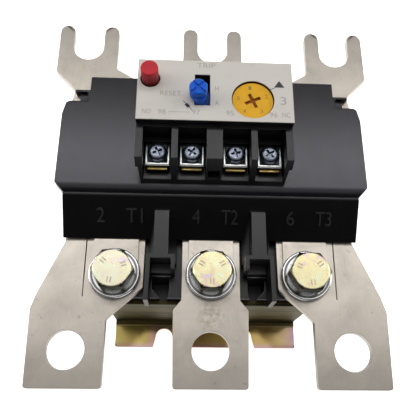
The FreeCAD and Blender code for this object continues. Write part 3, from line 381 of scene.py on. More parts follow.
def bracket_zinc():
    """Yellow passivation: straw, brown and pink by turns across the foot, and a dark khaki painted shade
    on the riser.
    """
    finish = Finish("yellow_zinc")
    along = finish.axis("Y")
    first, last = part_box("mount_bracket")
    drift = finish.maths("SUBTRACT", finish.noise(0.012, 3.0, 0.55, distortion=0.8), 0.5)
    across = finish.maths("ADD", finish.axis("X"), finish.maths("MULTIPLY", drift, 9 * MM))
    film = finish.ramp(finish.spread(across, first.x, last.x), [
        (0.0, srgb(255, 246, 166)), (0.09, srgb(244, 222, 138)), (0.17, srgb(204, 180, 104)),
        (0.215, srgb(196, 156, 142)), (0.36, srgb(196, 170, 104)), (0.56, shade_of("bracket")),
        (0.76, srgb(206, 178, 112)), (0.85, srgb(226, 194, 126)), (0.92, srgb(255, 234, 172)),
        (0.97, srgb(255, 226, 214)), (1.0, srgb(238, 208, 238))])
    rim = finish.spread(along, first.y + 0.3 * MM, first.y + 2.2 * MM, 0.75, 0)
    film = finish.blend(rim, film, srgb(220, 180, 190))
    # Painted shade on the riser: a dark streaky colour for the shaded space under the bars that it
    # faces.
    streaks = finish.noise(0.002, 3.0, 0.6, finish.stretched(0.04, 1.0, 1.0))
    riser_painted_shade = finish.blend(finish.spread(streaks, 0.4, 0.62), srgb(50, 46, 32), srgb(96, 86, 54))
    riser = finish.spread(along, last.y - 4.4 * MM, last.y - 3.2 * MM)
    finish.colour(finish.blend(riser, film, riser_painted_shade))
    sheen = finish.spread(finish.noise(0.003, 3.0), 0.3, 0.7, 0.08, 0.15)
    finish.roughness(finish.maths("MAXIMUM", sheen, finish.maths("MULTIPLY", riser, 0.55)))
    finish.bump(finish.noise(0.0004, 4.0, 0.6), 0.000004)
    return finish.plain(Metallic=1.0)


def bolt_zinc():
    """Pale yellow zinc, partly greenish or pink, with painted shade below the head's flat; the left bolt
    is paler.
    """
    finish = Finish("bolt_zinc")
    drift = finish.noise(0.005, 3.0, 0.55, distortion=1.2)
    film = finish.ramp(finish.spread(drift, 0.3, 0.7), [
        (0.0, srgb(200, 208, 184)), (0.35, shade_of("bolt")), (0.6, srgb(206, 196, 152)),
        (0.8, srgb(202, 180, 168)), (1.0, srgb(186, 176, 192))])
    pale = finish.spread(finish.axis("X"), -POLE_PITCH, -POLE_PITCH / 2, 0.55, 0.0)
    film = finish.blend(pale, film, srgb(206, 204, 190))
    # Painted shade: everything below the round flat on each head is coloured dark, so the chamfer and
    # sides look shaded.
    top = high("terminal_bolts").z
    flat = finish.spread(finish.axis("Z"), top - 0.3 * MM, top - 0.08 * MM)
    finish.colour(finish.blend(flat, srgb(92, 88, 70), film))
    finish.gloss(0.003, 3.0, 0.22, 0.38)
    finish.bump(finish.noise(0.0004, 4.0, 0.6), 0.000002)
    return finish.plain(Metallic=1.0)


def bright_zinc():
    tints = [(0.0, srgb(190, 202, 204)), (0.5, srgb(214, 214, 208)), (1.0, srgb(196, 194, 206))]
    return chromated_zinc("bright_zinc", shade_of("zinc"), tints, 0.24, 0.003)


def washer_zinc():
    """Flat washers: bright zinc with a ring of painted shade round the spring washer, a little inside
    the pressed rim.
    """
    finish = Finish("washer_zinc")
    from_bolt = finish.distance_from(0, BOLT_Y, POLE_PITCH)
    # Painted shade: a dark ring from the spring washer's edge out towards the pressed rim.
    ring_start, ring_end = 7.35 * MM, 8.15 * MM
    inner = finish.spread(from_bolt, ring_start, ring_start + 0.25 * MM, 1, 0)
    rim = finish.spread(from_bolt, ring_end, ring_end + 0.2 * MM)
    drift = finish.spread(finish.noise(0.004, 2.0), 0.35, 0.65)
    bright = finish.blend(drift, srgb(226, 228, 226), srgb(206, 206, 210))
    finish.colour(finish.blend(finish.maths("MAXIMUM", rim, inner), srgb(104, 102, 98), bright))
    finish.gloss(0.003, 2.0, 0.16, 0.26)
    finish.bump(finish.noise(0.0012, 2.0), 0.000004)
    return finish.plain(Metallic=1.0)


def stamped_zinc():
    """Pinkish film left on the raised marks of the bolt heads."""
    tints = [(0.0, srgb(182, 164, 148)), (0.5, srgb(170, 154, 150)), (1.0, srgb(172, 164, 132))]
    return chromated_zinc("stamped_zinc", srgb(178, 166, 142), tints, 0.36, 0.002)


def screw_zinc():
    """Blue-white zinc of the small screws, dark and patchy as painted shade and painted reflections of
    the deep cells round the heads.
    """
    # The dark tints are painted shade; the light and dark patches are painted reflections.
    tints = [(0.0, srgb(58, 68, 88)), (0.4, srgb(118, 124, 134)), (0.55, srgb(70, 74, 82)),
             (0.75, srgb(150, 154, 164)), (1.0, srgb(92, 96, 110))]
    return chromated_zinc("screw_zinc", srgb(96, 102, 116), tints, 0.3, 0.0012)


def clamp_zinc():
    """Square clamps: painted shade on the seat under the screw head, and a painted highlight along the
    turned-up edge, strongest at the front.
    """
    finish = Finish("clamp_zinc")
    corner = low("clamp_washers")
    # Painted highlight on the raised rim, fading towards the back; below it dark patches of painted
    # shade.
    raised = finish.spread(finish.axis("Z"), corner.z + 1.02 * MM, corner.z + 1.3 * MM)
    near = finish.spread(finish.axis("Y"), corner.y + 2.2 * MM, corner.y + 5.0 * MM, 1.0, 0.15)
    patches = finish.blend(finish.spread(finish.noise(0.0014, 4.0, 0.6), 0.4, 0.65),
                           srgb(58, 60, 64), srgb(112, 114, 116))
    finish.colour(finish.blend(finish.maths("MULTIPLY", raised, near), patches, srgb(206, 207, 205)))
    finish.gloss(0.002, 3.0, 0.26, 0.4)
    finish.bump(finish.noise(0.0003, 4.0, 0.6), 0.000008)
    return finish.plain(Metallic=1.0)


def rubbed_metal(name, shade, rough):
    """Plain metal with stamping grain and a thin dull film."""
    finish = Finish(name)
    film = finish.noise(0.0025, 4.0, 0.6)
    grain = finish.noise(0.0003, 4.0, 0.6, finish.stretched(0.12, 1.0, 1.0))
    finish.colour(finish.blend(finish.spread(film, 0.35, 0.7), shade, darker(shade, 0.72)))
    finish.roughness(finish.spread(film, 0.3, 0.7, rough - 0.06, rough + 0.12))
    finish.bump(grain, 0.000008)
    return finish.plain(Metallic=1.0)


def glossy_plastic(name, shade, rough, dark_below, bright_above):
    """Small coloured moulding: soft shade changes, tiny scuffs, and painted shade darkening it down
    towards its bore.
    """
    finish = Finish(name)
    scuffs = finish.spread(finish.noise(0.0005, 5.0, 0.7), 0.6, 0.72, 0, 0.4)
    tone = finish.blend(finish.spread(finish.noise(0.004, 2.0), 0.3, 0.7),
                        darker(shade, 0.9), darker(shade, 1.08))
    tone = finish.blend(scuffs, tone, tuple(min(1.0, value * 1.15 + 0.006) for value in shade))
    # Painted shade: below dark_below the colour is almost black, above bright_above it is the plain
    # moulding.
    above_painted_shade = finish.spread(finish.axis("Z"), dark_below, bright_above)
    finish.colour(finish.blend(above_painted_shade, darker(shade, 0.16), tone))
    finish.gloss(0.0012, 4.0, rough - 0.05, rough + 0.1)
    finish.bump(finish.noise(0.0004, 2.0), 0.000006)
    return finish.plain(Specular_IOR_Level=0.2)


def dial_plastic():
    """Yellow moulding whose cross slot is coloured dark brown below its top face."""
    yellow = shade_of("dial")
    finish = Finish("dial_yellow")
    slot = finish.spread(finish.axis("Z"), DIAL_TOP - 0.55 * MM, DIAL_TOP - 0.12 * MM, 1.0, 0.0)
    tone = finish.blend(finish.spread(finish.noise(0.003, 4.0, 0.6), 0.35, 0.7),
                        yellow, darker(yellow, 0.9))
    finish.colour(finish.blend(slot, tone, shade_of("dial_slot")))
    finish.gloss(0.0012, 4.0, 0.34, 0.48)
    finish.bump(finish.noise(0.0004, 2.0), 0.000006)
    return finish.plain(Specular_IOR_Level=0.15)


def printed_ink(name, shade):
    """Screen-printed ink, a little thin and uneven."""
    finish = Finish(name)
    thin = finish.spread(finish.noise(0.0002, 4.0, 0.7), 0.4, 0.75, 0, 0.5)
    finish.colour(finish.blend(thin, shade, tuple(value * 0.6 + 0.2 for value in shade)))
    finish.bump(finish.noise(0.0002, 2.0), 0.000004)
    return finish.plain(Roughness=0.6, Specular_IOR_Level=0.25)


def once(name, make, *values):
    """The material of that name, made when it is first asked for."""
    return bpy.data.materials.get(name) or make(name, *values)


def ink():
    return once("grey_ink", printed_ink, shade_of("ink"))


def dark_ink():
    return once("dark_ink", printed_ink, shade_of("dark_ink"))


def material_for(slot_name):
    """Each record slot has one material, made when it is first asked for."""
    makers = {
        "label_grey": panel_paint,
        "black_plastic": lambda: moulded_plastic("base_black", shade_of("base"), 0.33, 0.43),
        "dark_grey_plastic": lambda: moulded_plastic("hood_black", shade_of("hood"), 0.24, 0.45,
                                                     (0.95, 0.93, 1.0)),
        "plated_copper": tinned_copper,
        "bare_copper": lambda: rubbed_metal("bare_copper", shade_of("copper"), 0.35),
        "bimetal_strip": lambda: rubbed_metal("bimetal_strip", shade_of("tinned"), 0.4),
        "zinc_yellow": bracket_zinc,
        "bolt_zinc": bolt_zinc,
        "bright_zinc": bright_zinc,
        "terminal_brass": lambda: rubbed_metal("terminal_brass", shade_of("brass"), 0.32),
        "dial_yellow": dial_plastic,
        # The two heights bound the painted shade on each button's shaft.
        "reset_blue": lambda: glossy_plastic("reset_blue", shade_of("reset"), 0.34,
                                             PANEL_TOP - 5 * MM, PANEL_TOP + 1 * MM),
        "test_red": lambda: glossy_plastic("test_red", shade_of("test"), 0.42, PANEL_TOP - 0.5 * MM,
                                           high("test_button").z - 0.3 * MM),
        "mechanism_plastic": lambda: moulded_plastic("natural_plastic", shade_of("natural"), 0.5, 0.4),
        "spring_steel": lambda: rubbed_metal("spring_steel", shade_of("zinc"), 0.25),
    }
    for material in bpy.data.materials:
        if material.get("relay_slot") == slot_name:
            return material
    material = makers[slot_name]()
    material["relay_slot"] = slot_name
    return material


# ---- modelling steps ----
def start():
    """Object mode with nothing selected, ready for a new primitive."""
    if bpy.context.mode != "OBJECT":
        bpy.ops.object.mode_set(mode="OBJECT")
    bpy.ops.object.select_all(action="DESELECT")


def pick(*pieces):
    """Only these pieces selected, the first one active."""
    start()
    for piece in pieces:
        piece.select_set(True)
    bpy.context.view_layer.objects.active = pieces[0]


def settle(piece):
    """The place goes into the mesh, and the object back to the origin."""
    pick(piece)
    bpy.ops.object.transform_apply(location=True, rotation=True, scale=True)


def edit_faces(piece, test):
    """Edit mode with the faces selected whose centre and normal pass the test."""
    pick(piece)
    mesh = piece.data
    for vertex in mesh.vertices:
        vertex.select = False
    for edge in mesh.edges:
        edge.select = False
    found = 0
    for face in mesh.polygons:
        face.select = bool(test(face.center, face.normal))
        found += face.select
    if not found:
        raise RuntimeError("no face to work on in " + piece.name)
    bpy.context.tool_settings.mesh_select_mode = (False, False, True)
    bpy.ops.object.mode_set(mode="EDIT")


def edit_whole():
    """Edit mode with the whole of the active mesh selected."""
    bpy.ops.object.mode_set(mode="EDIT")
    bpy.ops.mesh.select_all(action="SELECT")


def leave_edit():
    bpy.ops.object.mode_set(mode="OBJECT")


def modify(piece, kind, **settings):
    """One modifier with these settings, applied to the mesh."""
    pick(piece)
    step = piece.modifiers.new(kind.lower(), kind)
    for name, value in settings.items():
        setattr(step, name, value)
    bpy.ops.object.modifier_apply(modifier=step.name)


def soften(piece, width, angle=38.0, segments=2):
    modify(piece, "BEVEL", width=width, segments=segments, limit_method="ANGLE",
           angle_limit=math.radians(angle), use_clamp_overlap=False)


def carve(piece, operation, tool):
    """Boolean of a piece with a tool, which is used up."""
    modify(piece, "BOOLEAN", operation=operation, solver="EXACT", object=tool)
    bpy.data.objects.remove(tool)


def smooth(piece, angle=34.0):
    pick(piece)
    bpy.ops.object.shade_smooth_by_angle(angle=math.radians(angle))


def flatten_shading(piece):
    """Large flat faces keep their own normal right up to the rounded edges."""
    modify(piece, "WEIGHTED_NORMAL", keep_sharp=True, weight=80, thresh=0.0)


def dress(piece, name, body, slot_name, material=None):
    """Name, finish and body of a finished piece; with no finish given, it takes the record slot's
    material.
    """
    piece.name = name
    piece.data.name = name
    piece.data.materials.clear()
    piece.data.materials.append(material or material_for(slot_name))
    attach(piece, body)
    return piece


def plain_copy(node):
    """A copy of a node's shape, without its node label and imported normals."""
    pick(NODES[node])
    bpy.ops.object.duplicate()
    piece = bpy.context.active_object
    del piece["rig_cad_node"]
    if piece.data.has_custom_normals:
        bpy.ops.mesh.customdata_custom_splitnormals_clear()
    return piece


def softened_copy(node, name, width, slot_name, angle=38.0, segments=2, material=None):
    """A node's own shape with its edges rounded, shown in the node's place."""
    piece = plain_copy(node)
    edit_whole()
    bpy.ops.mesh.remove_doubles(threshold=WELD)
    bpy.ops.mesh.beautify_fill(angle_limit=FLAT)
    leave_edit()
    soften(piece, width, angle, segments)
    edit_whole()
    bpy.ops.mesh.dissolve_limited(angle_limit=FLAT)
    leave_edit()
    smooth(piece)
    flatten_shading(piece)
    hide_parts(node)
    return dress(piece, name, piece["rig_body"], slot_name, material)


def cut_cross(piece, x, y, top, reach, width, depth, turn):
    """Cross recess open at top, whose arms narrow downwards."""
    taper = 0.55
    for quarter in (0, math.pi / 2):
        start()
        bpy.ops.mesh.primitive_cube_add(size=1, location=(x, y, top))
        blade = bpy.context.active_object
        blade.scale = (2 * reach, width, 2 * depth)
        blade.rotation_euler[2] = turn + quarter
        settle(blade)
        edit_faces(blade, lambda middle, normal: normal.z < -0.9)
        bpy.ops.transform.resize(value=(taper, taper, 1), center_override=(x, y, top))
        leave_edit()
        carve(piece, "DIFFERENCE", blade)


def disc(x, y, bottom, top, radius, vertices):
    """Upright cylinder centred at x, y."""
    start()
    bpy.ops.mesh.primitive_cylinder_add(vertices=vertices, radius=radius, depth=top - bottom,
                                        location=(x, y, (bottom + top) / 2))
    piece = bpy.context.active_object
    settle(piece)
    return piece


def block(first, last):
    """Box between two corners."""
    start()
    bpy.ops.mesh.primitive_cube_add(size=1, location=(Vector(first) + Vector(last)) / 2)
    piece = bpy.context.active_object
    piece.scale = Vector(last) - Vector(first)
    settle(piece)
    return piece


def round_rim(piece, z, offset, segments):
    """Rounds the rim of the flat face at height z."""
    edit_faces(piece, lambda middle, normal: abs(middle.z - z) < 1e-6 and abs(normal.z) > 0.9)
    bpy.ops.mesh.bevel(offset=offset, segments=segments, profile=0.5, affect="EDGES")
    leave_edit()


def merged(pieces):
    """Several meshes as one piece."""
    pick(*pieces)
    bpy.ops.object.join()
    return bpy.context.active_object


def put(piece, place, degrees):
    """Turns a piece made round the origin about Z, then moves it to its place."""
    piece.data.transform(Matrix.Translation(place) @ Matrix.Rotation(math.radians(degrees), 4, "Z"))


def words(text, x, y, width, height, z, rise, tilt=0.0):
    """Raised lettering, width by height, centred at x, y on a surface at z that may slope."""
    start()
    bpy.ops.object.text_add()
    letters = bpy.context.active_object
    letters.data.body = text
    letters.data.align_x = "CENTER"
    letters.data.align_y = "CENTER"
    letters.data.resolution_u = 3
    letters.data.extrude = 0.5
    bpy.ops.object.convert(target="MESH")
    edit_whole()
    bpy.ops.mesh.remove_doubles(threshold=1e-5)
    leave_edit()
    xs = [vertex.co.x for vertex in letters.data.vertices]
    ys = [vertex.co.y for vertex in letters.data.vertices]
    middle = Vector(((min(xs) + max(xs)) / 2, (min(ys) + max(ys)) / 2, 0))
    stretch = Matrix.Diagonal((width / (max(xs) - min(xs)), height / (max(ys) - min(ys)), 2 * rise, 1))
    letters.data.transform(Matrix.Translation((x, y, z)) @ Matrix.Rotation(tilt, 4, "X")
                           @ stretch @ Matrix.Translation(-middle))
    return letters


class RelayStep:
    """What every step of the relay shares."""
    bl_options = {"REGISTER", "UNDO"}


# ---- housings ----
class RELAY_OT_housings(RelayStep, bpy.types.Operator):
    """Base, hood, sloped cover and control block with moulded edges"""
    bl_idname = "relay.housings"
    bl_label = "Housings"

    def execute(self, context):
        edge = sizes().moulded_edge
        fine = sizes().fine_edge
        softened_copy("base_housing", "base_moulding", edge, "black_plastic")
        softened_copy("front_cover", "hood_moulding", edge, "dark_grey_plastic")
        softened_copy("terminal_cover", "sloped_cover_moulding", fine, "black_plastic")
        duller = moulded_plastic("control_black", darker(shade_of("hood"), 0.5), 0.36, 0.43)
        softened_copy("control_housing", "control_block_moulding", fine, "dark_grey_plastic",
                      material=duller)
        return {"FINISHED"}


class RELAY_OT_terminal_marks(RelayStep, bpy.types.Operator):
    """Pole marks standing proud of the sloped cover"""
    bl_idname = "relay.terminal_marks"
    bl_label = "Terminal Marks"

    def execute(self, context):
        height = sizes().emboss_height
        y = high("terminal_cover").y - sizes().emboss_inset
        # The raised marks get a lighter black plastic: a painted highlight on letters of the same
        # moulding.
        marks_painted_highlight = once("worn_black", moulded_plastic, srgb(33, 34, 35), 0.5, 0.5)
        for pole, number, phase in ((-1, "2", "T1"), (0, "4", "T2"), (1, "6", "T3")):
            left, right = (number, -5.6 * MM, 0.55 * height), (phase, 6.4 * MM, 1.1 * height)
            for text, from_pole, width in (left, right):
                x = pole * POLE_PITCH + from_pole
                place, normal = surface("terminal_cover", x, y)
                mark = words(text, x, y, width, height, place.z, sizes().emboss_rise,
                             math.atan2(-normal.y, normal.z))
                dress(mark, "mark_" + text, "frame", "black_plastic", marks_painted_highlight)
        return {"FINISHED"}


# ---- panel ----
class RELAY_OT_panel(RelayStep, bpy.types.Operator):
    """Label plate with its generic print"""
    bl_idname = "relay.panel"
    bl_label = "Panel"
    ink_edge = 0.01 * MM

    def execute(self, context):
        softened_copy("label_plate", "panel_plate", sizes().small_metal_edge, "label_grey")
        tall = sizes().print_height
        rise = sizes().print_rise
        # name, text, place and width in millimetres, height
        prints = (("reset", "RESET", -15.4, 26.3, 7.2, tall), ("trip", "TRIP", -3.2, 38.0, 6.4, tall),
                  ("hand", "H", 0.5, 28.7, 1.3, tall), ("auto", "A", 0.5, 23.0, 1.3, tall),
                  ("no", "NO", -23.4, 19.0, 2.9, tall), ("98", "98", -18.2, 19.0, 2.6, tall),
                  ("97", "97", -6.6, 19.1, 2.6, tall), ("95", "95", 5.0, 19.1, 2.6, tall),
                  ("96", "96", 19.9, 18.9, 2.6, tall), ("nc", "NC", 24.3, 18.9, 2.9, tall),
                  ("scale", "3", 23.5, 24.5, 2.1, 3.2 * MM))
        for name, text, x, y, width, height in prints:
            letters = words(text, x * MM, y * MM, width * MM, height, PANEL_TOP, rise)
            dress(letters, "print_" + name, "frame", "label_grey", ink())
        self.lines(rise)
        self.pointer(rise)
        return {"FINISHED"}

    def lines(self, rise):
        """Rule between 98 and 97, and the small slanting contact mark."""
        start_x, end_x, y, half = -16.0 * MM, -8.6 * MM, 19.05 * MM, 0.1 * MM
        rule = block((start_x, y - half, PANEL_TOP), (end_x, y + half, PANEL_TOP + rise))
        soften(rule, self.ink_edge)
        dress(rule, "print_rule", "frame", "label_grey", ink())
        arm, half, pointed = 2.4 * MM, 0.3 * MM, 0.35
        mark = block((-arm, -half, 0), (arm, half, rise))
        edit_faces(mark, lambda middle, normal: abs(normal.x) > 0.9)
        bpy.ops.transform.resize(value=(1, pointed, 1))
        leave_edit()
        flag = block((-0.9 * MM, -0.6 * MM, 0), (0.7 * MM, 0.5 * MM, rise))
        mark = merged([mark, flag])
        put(mark, (-9.5 * MM, 21.6 * MM, PANEL_TOP), -50)
        dress(mark, "print_contact", "frame", "label_grey", dark_ink())

    def pointer(self, rise):
        """Triangle that shows where the dial is read, and its thin line to the rim."""
        radius, flattened = 2.1 * MM, 0.85
        start()
        bpy.ops.mesh.primitive_circle_add(vertices=3, radius=radius, fill_type="NGON",
                                          location=(22.3 * MM, 30.7 * MM, PANEL_TOP))
        triangle = bpy.context.active_object
        triangle.scale = (1.0, flattened, 1.0)
        settle(triangle)
        edit_faces(triangle, lambda middle, normal: True)
        bpy.ops.mesh.extrude_region_move(TRANSFORM_OT_translate={"value": (0, 0, rise)})
        bpy.ops.mesh.select_all(action="SELECT")
        bpy.ops.mesh.normals_make_consistent(inside=False)
        leave_edit()
        reach, half = 2.4 * MM, 0.11 * MM
        line = block((0, -half, 0), (reach, half, rise))
        put(line, (18.6 * MM, 28.7 * MM, PANEL_TOP), 24)
        soften(line, self.ink_edge)
        dress(merged([triangle, line]), "print_pointer", "frame", "label_grey", dark_ink())


# ---- conductors ----
class RELAY_OT_conductors(RelayStep, bpy.types.Operator):
    """Tinned bars, heater straps and line forks with sheared edges"""
    bl_idname = "relay.conductors"
    bl_label = "Conductors"

    def execute(self, context):
        edge = sizes().sheared_edge
        for side in ("left", "middle", "right"):
            softened_copy("load_bar_" + side, "bar_" + side, edge, "plated_copper")
            softened_copy("line_fork_" + side, "fork_" + side, edge, "plated_copper")
            softened_copy("heater_strap_" + side, "strap_" + side, sizes().small_metal_edge,
                          "plated_copper")
        return {"FINISHED"}


class RELAY_OT_terminal_bolts(RelayStep, bpy.types.Operator):
    """Hexagon bolts with their spring and flat washers"""
    bl_idname = "relay.terminal_bolts"
    bl_label = "Terminal Bolts"

    def execute(self, context):
        bolts = softened_copy("terminal_bolts", "hexagon_bolts", sizes().sheared_edge, "bolt_zinc",
                              angle=28.0)
        self.chamfer(bolts)
        self.grade_marks()
        softened_copy("flat_washers", "flat_washers_pressed", sizes().washer_edge, "bright_zinc",
                      ROUND_PARTS, segments=4, material=washer_zinc())
        softened_copy("spring_washers", "spring_washers_coiled", sizes().small_metal_edge, "bright_zinc",
                      ROUND_PARTS)
        softened_copy("captive_nuts", "captive_nuts_chamfered", sizes().sheared_edge, "bright_zinc",
                      ROUND_PARTS)
        return {"FINISHED"}

    def chamfer(self, bolts):
        """Turned cone over each hexagon head, which leaves a round flat on top."""
        bottom, top = low("terminal_bolts").z - MM, high("terminal_bolts").z
        flat = sizes().bolt_flat
        reach = 8.5 * MM                # clear of the head's corners
        slope = math.radians(30)
        drop = (reach - flat) * math.tan(slope)
        cones = []
        for pole in (-1, 0, 1):
            x = pole * POLE_PITCH
            cone = disc(x, BOLT_Y, bottom, top - drop, reach, 64)
            edit_faces(cone, lambda middle, normal: normal.z > 0.9)
            bpy.ops.mesh.extrude_region_move(TRANSFORM_OT_translate={"value": (0, 0, drop)})
            bpy.ops.transform.resize(value=(flat / reach, flat / reach, 1),
                                     center_override=(x, BOLT_Y, top))
            leave_edit()
            cones.append(cone)
        carve(bolts, "INTERSECT", merged(cones))
        smooth(bolts, 20.0)
        flatten_shading(bolts)

    def grade_marks(self):
        """Plain pairs of raised dashes, three round each head."""
        top = high("terminal_bolts").z
        half_long, half_wide, rise, sunk = 0.95 * MM, 0.24 * MM, 0.1 * MM, 0.02 * MM
        from_axis, beside = 4.1 * MM, 0.55 * MM
        marks = []
        for pole, turn in ((-1, 20), (0, 30), (1, 36)):
            for third in range(3):
                for offset in (-beside, beside):
                    dash = block((-half_long, -half_wide, -sunk), (half_long, half_wide, rise))
                    soften(dash, 0.05 * MM)
                    dash.data.transform(Matrix.Translation((from_axis, offset, 0)))
                    put(dash, (pole * POLE_PITCH, BOLT_Y, top), turn + 120 * third)
                    marks.append(dash)
        dress(merged(marks), "bolt_marks", "frame", "bolt_zinc", stamped_zinc())


# ---- control terminals ----
class RELAY_OT_control_terminals(RelayStep, bpy.types.Operator):
    """Pan-head screws, square clamp washers and brass plates"""
    bl_idname = "relay.control_terminals"
    bl_label = "Control Terminals"
    sheet = 1.0 * MM                    # of a square clamp; the screw heads press on it

    def execute(self, context):
        y = centre("control_screws").y
        screws, clamps = [], []
        for number, turn in (("98", 24), ("97", 58), ("95", 12), ("96", 40)):
            x = centre("terminal_" + number).x
            screws.append(self.screw(x, y, math.radians(turn)))
            clamps.append(self.clamp(x, y))
        for parts, node, name, look in ((screws, "control_screws", "pan_head_screws", screw_zinc()),
                                        (clamps, "clamp_washers", "square_clamps", clamp_zinc())):
            piece = merged(parts)
            smooth(piece)
            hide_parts(node)
            dress(piece, name, "frame", "bright_zinc", look)
        for number in ("95", "96", "97", "98"):
            softened_copy("terminal_" + number, "brass_plate_" + number, sizes().small_metal_edge,
                          "terminal_brass")
        return {"FINISHED"}

    def screw(self, x, y, turn):
        """Domed head with a cross recess, over a plain shank."""
        first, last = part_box("control_screws")
        radius = (last.y - first.y) / 2
        base = low("clamp_washers").z + self.sheet
        dome, arm, slot = 1.5 * MM, 2.3 * MM, 1.1 * MM
        head = disc(x, y, base, last.z, radius, 40)
        round_rim(head, last.z, dome, 6)
        cut_cross(head, x, y, last.z, arm, slot, sizes().screw_recess, turn)
        shank = disc(x, y, first.z, base, radius / 2, 24)
        return merged([head, shank])

    def clamp(self, x, y):
        """Square plate with three sides of its rim raised; the back one stays down."""
        first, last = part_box("clamp_washers")
        half = (last.y - first.y) / 2
        rim, slope, lift = 1.3 * MM, 0.35 * MM, 0.55 * MM
        seat = half - rim
        plate = block((x - half, y - half, first.z), (x + half, y + half, first.z + self.sheet))
        edit_faces(plate, lambda middle, normal: normal.z > 0.9)
        bpy.ops.mesh.inset(thickness=rim)
        leave_edit()
        edit_faces(plate, lambda middle, normal: normal.z > 0.9 and middle.y < y + seat
                   and max(abs(middle.x - x), y - middle.y) > seat)
        bpy.ops.mesh.inset(thickness=slope)
        bpy.ops.transform.translate(value=(0, 0, lift))
        leave_edit()
        soften(plate, sizes().small_metal_edge, 40)
        return plate


# ---- dial, reset and test ----
class RELAY_OT_dial(RelayStep, bpy.types.Operator):
    """Setting dial with its cross slot and plain numerals"""
    bl_idname = "relay.dial"
    bl_label = "Setting Dial"

    def execute(self, context):
        softened_copy("setting_dial", "dial_disc", sizes().small_metal_edge, "dial_yellow", ROUND_PARTS)
        ring = 0.72 * (high("setting_dial").x - DIAL_X)
        width, height = 1.0 * MM, 1.5 * MM
        faded = once("faded_ink", printed_ink, srgb(168, 122, 40))
        for text, angle in (("1", 100), ("2", 20), ("3", -55), ("4", -125), ("5", 170)):
            turn = math.radians(angle)
            numeral = words(text, DIAL_X + ring * math.cos(turn), DIAL_Y + ring * math.sin(turn),
                            width, height, DIAL_TOP, sizes().print_rise)
            dress(numeral, "dial_numeral_" + text, "dial", "dial_yellow", faded)
        return {"FINISHED"}


class RELAY_OT_buttons(RelayStep, bpy.types.Operator):
    """Reset knob and plunger, and the test button"""
    bl_idname = "relay.buttons"
    bl_label = "Buttons"

    def execute(self, context):
        edge = sizes().small_metal_edge
        softened_copy("reset_knob", "reset_knob_cap", edge, "reset_blue", ROUND_PARTS)
        softened_copy("reset_plunger", "reset_shaft", edge, "reset_blue", ROUND_PARTS)
        softened_copy("test_button", "test_button_cap", edge, "test_red", ROUND_PARTS)
        return {"FINISHED"}


class RELAY_OT_bracket(RelayStep, bpy.types.Operator):
    """Yellow zinc mounting bracket and its screws"""
    bl_idname = "relay.bracket"
    bl_label = "Mounting Bracket"

    def execute(self, context):
        edge = sizes().sheared_edge
        softened_copy("mount_bracket", "bracket_plate", edge, "zinc_yellow", ROUND_PARTS)
        softened_copy("bracket_screws", "bracket_screws_socket", edge, "bright_zinc", ROUND_PARTS)
        return {"FINISHED"}


class RELAY_OT_return_springs(RelayStep, bpy.types.Operator):
    """Coil springs between the mechanism plate and the two plungers, kept as still meshes outside every
    body
    """
    bl_idname = "relay.return_springs"
    bl_label = "Return Springs"

    def execute(self, context):
        for node, pusher in (("test_spring", "button"), ("reset_spring", "reset")):
            spring = plain_copy(node)
            bpy.ops.object.parent_clear(type="CLEAR_KEEP_TRANSFORM")
            del spring["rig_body"]
            edit_whole()
            bpy.ops.mesh.remove_doubles(threshold=WELD)
            leave_edit()
            smooth(spring, ROUND_PARTS)
            spring.name = spring.data.name = node + "_coil"
            spring.data.materials.clear()
            spring.data.materials.append(material_for("spring_steel"))
            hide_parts(node)
            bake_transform(spring)
        return {"FINISHED"}


class RELAY_OT_mechanism(RelayStep, bpy.types.Operator):
    """Finishes of the enclosed pieces, which keep their own shapes"""
    bl_idname = "relay.mechanism"
    bl_label = "Inner Mechanism"

    def execute(self, context):
        named = {row["node"]: row["material_slot"] for row in frame["record"]["subparts"]}
        for name, node in NODES.items():
            if node.hide_render:
                continue
            node.data.materials.clear()
            node.data.materials.append(material_for(named[name]))
        return {"FINISHED"}


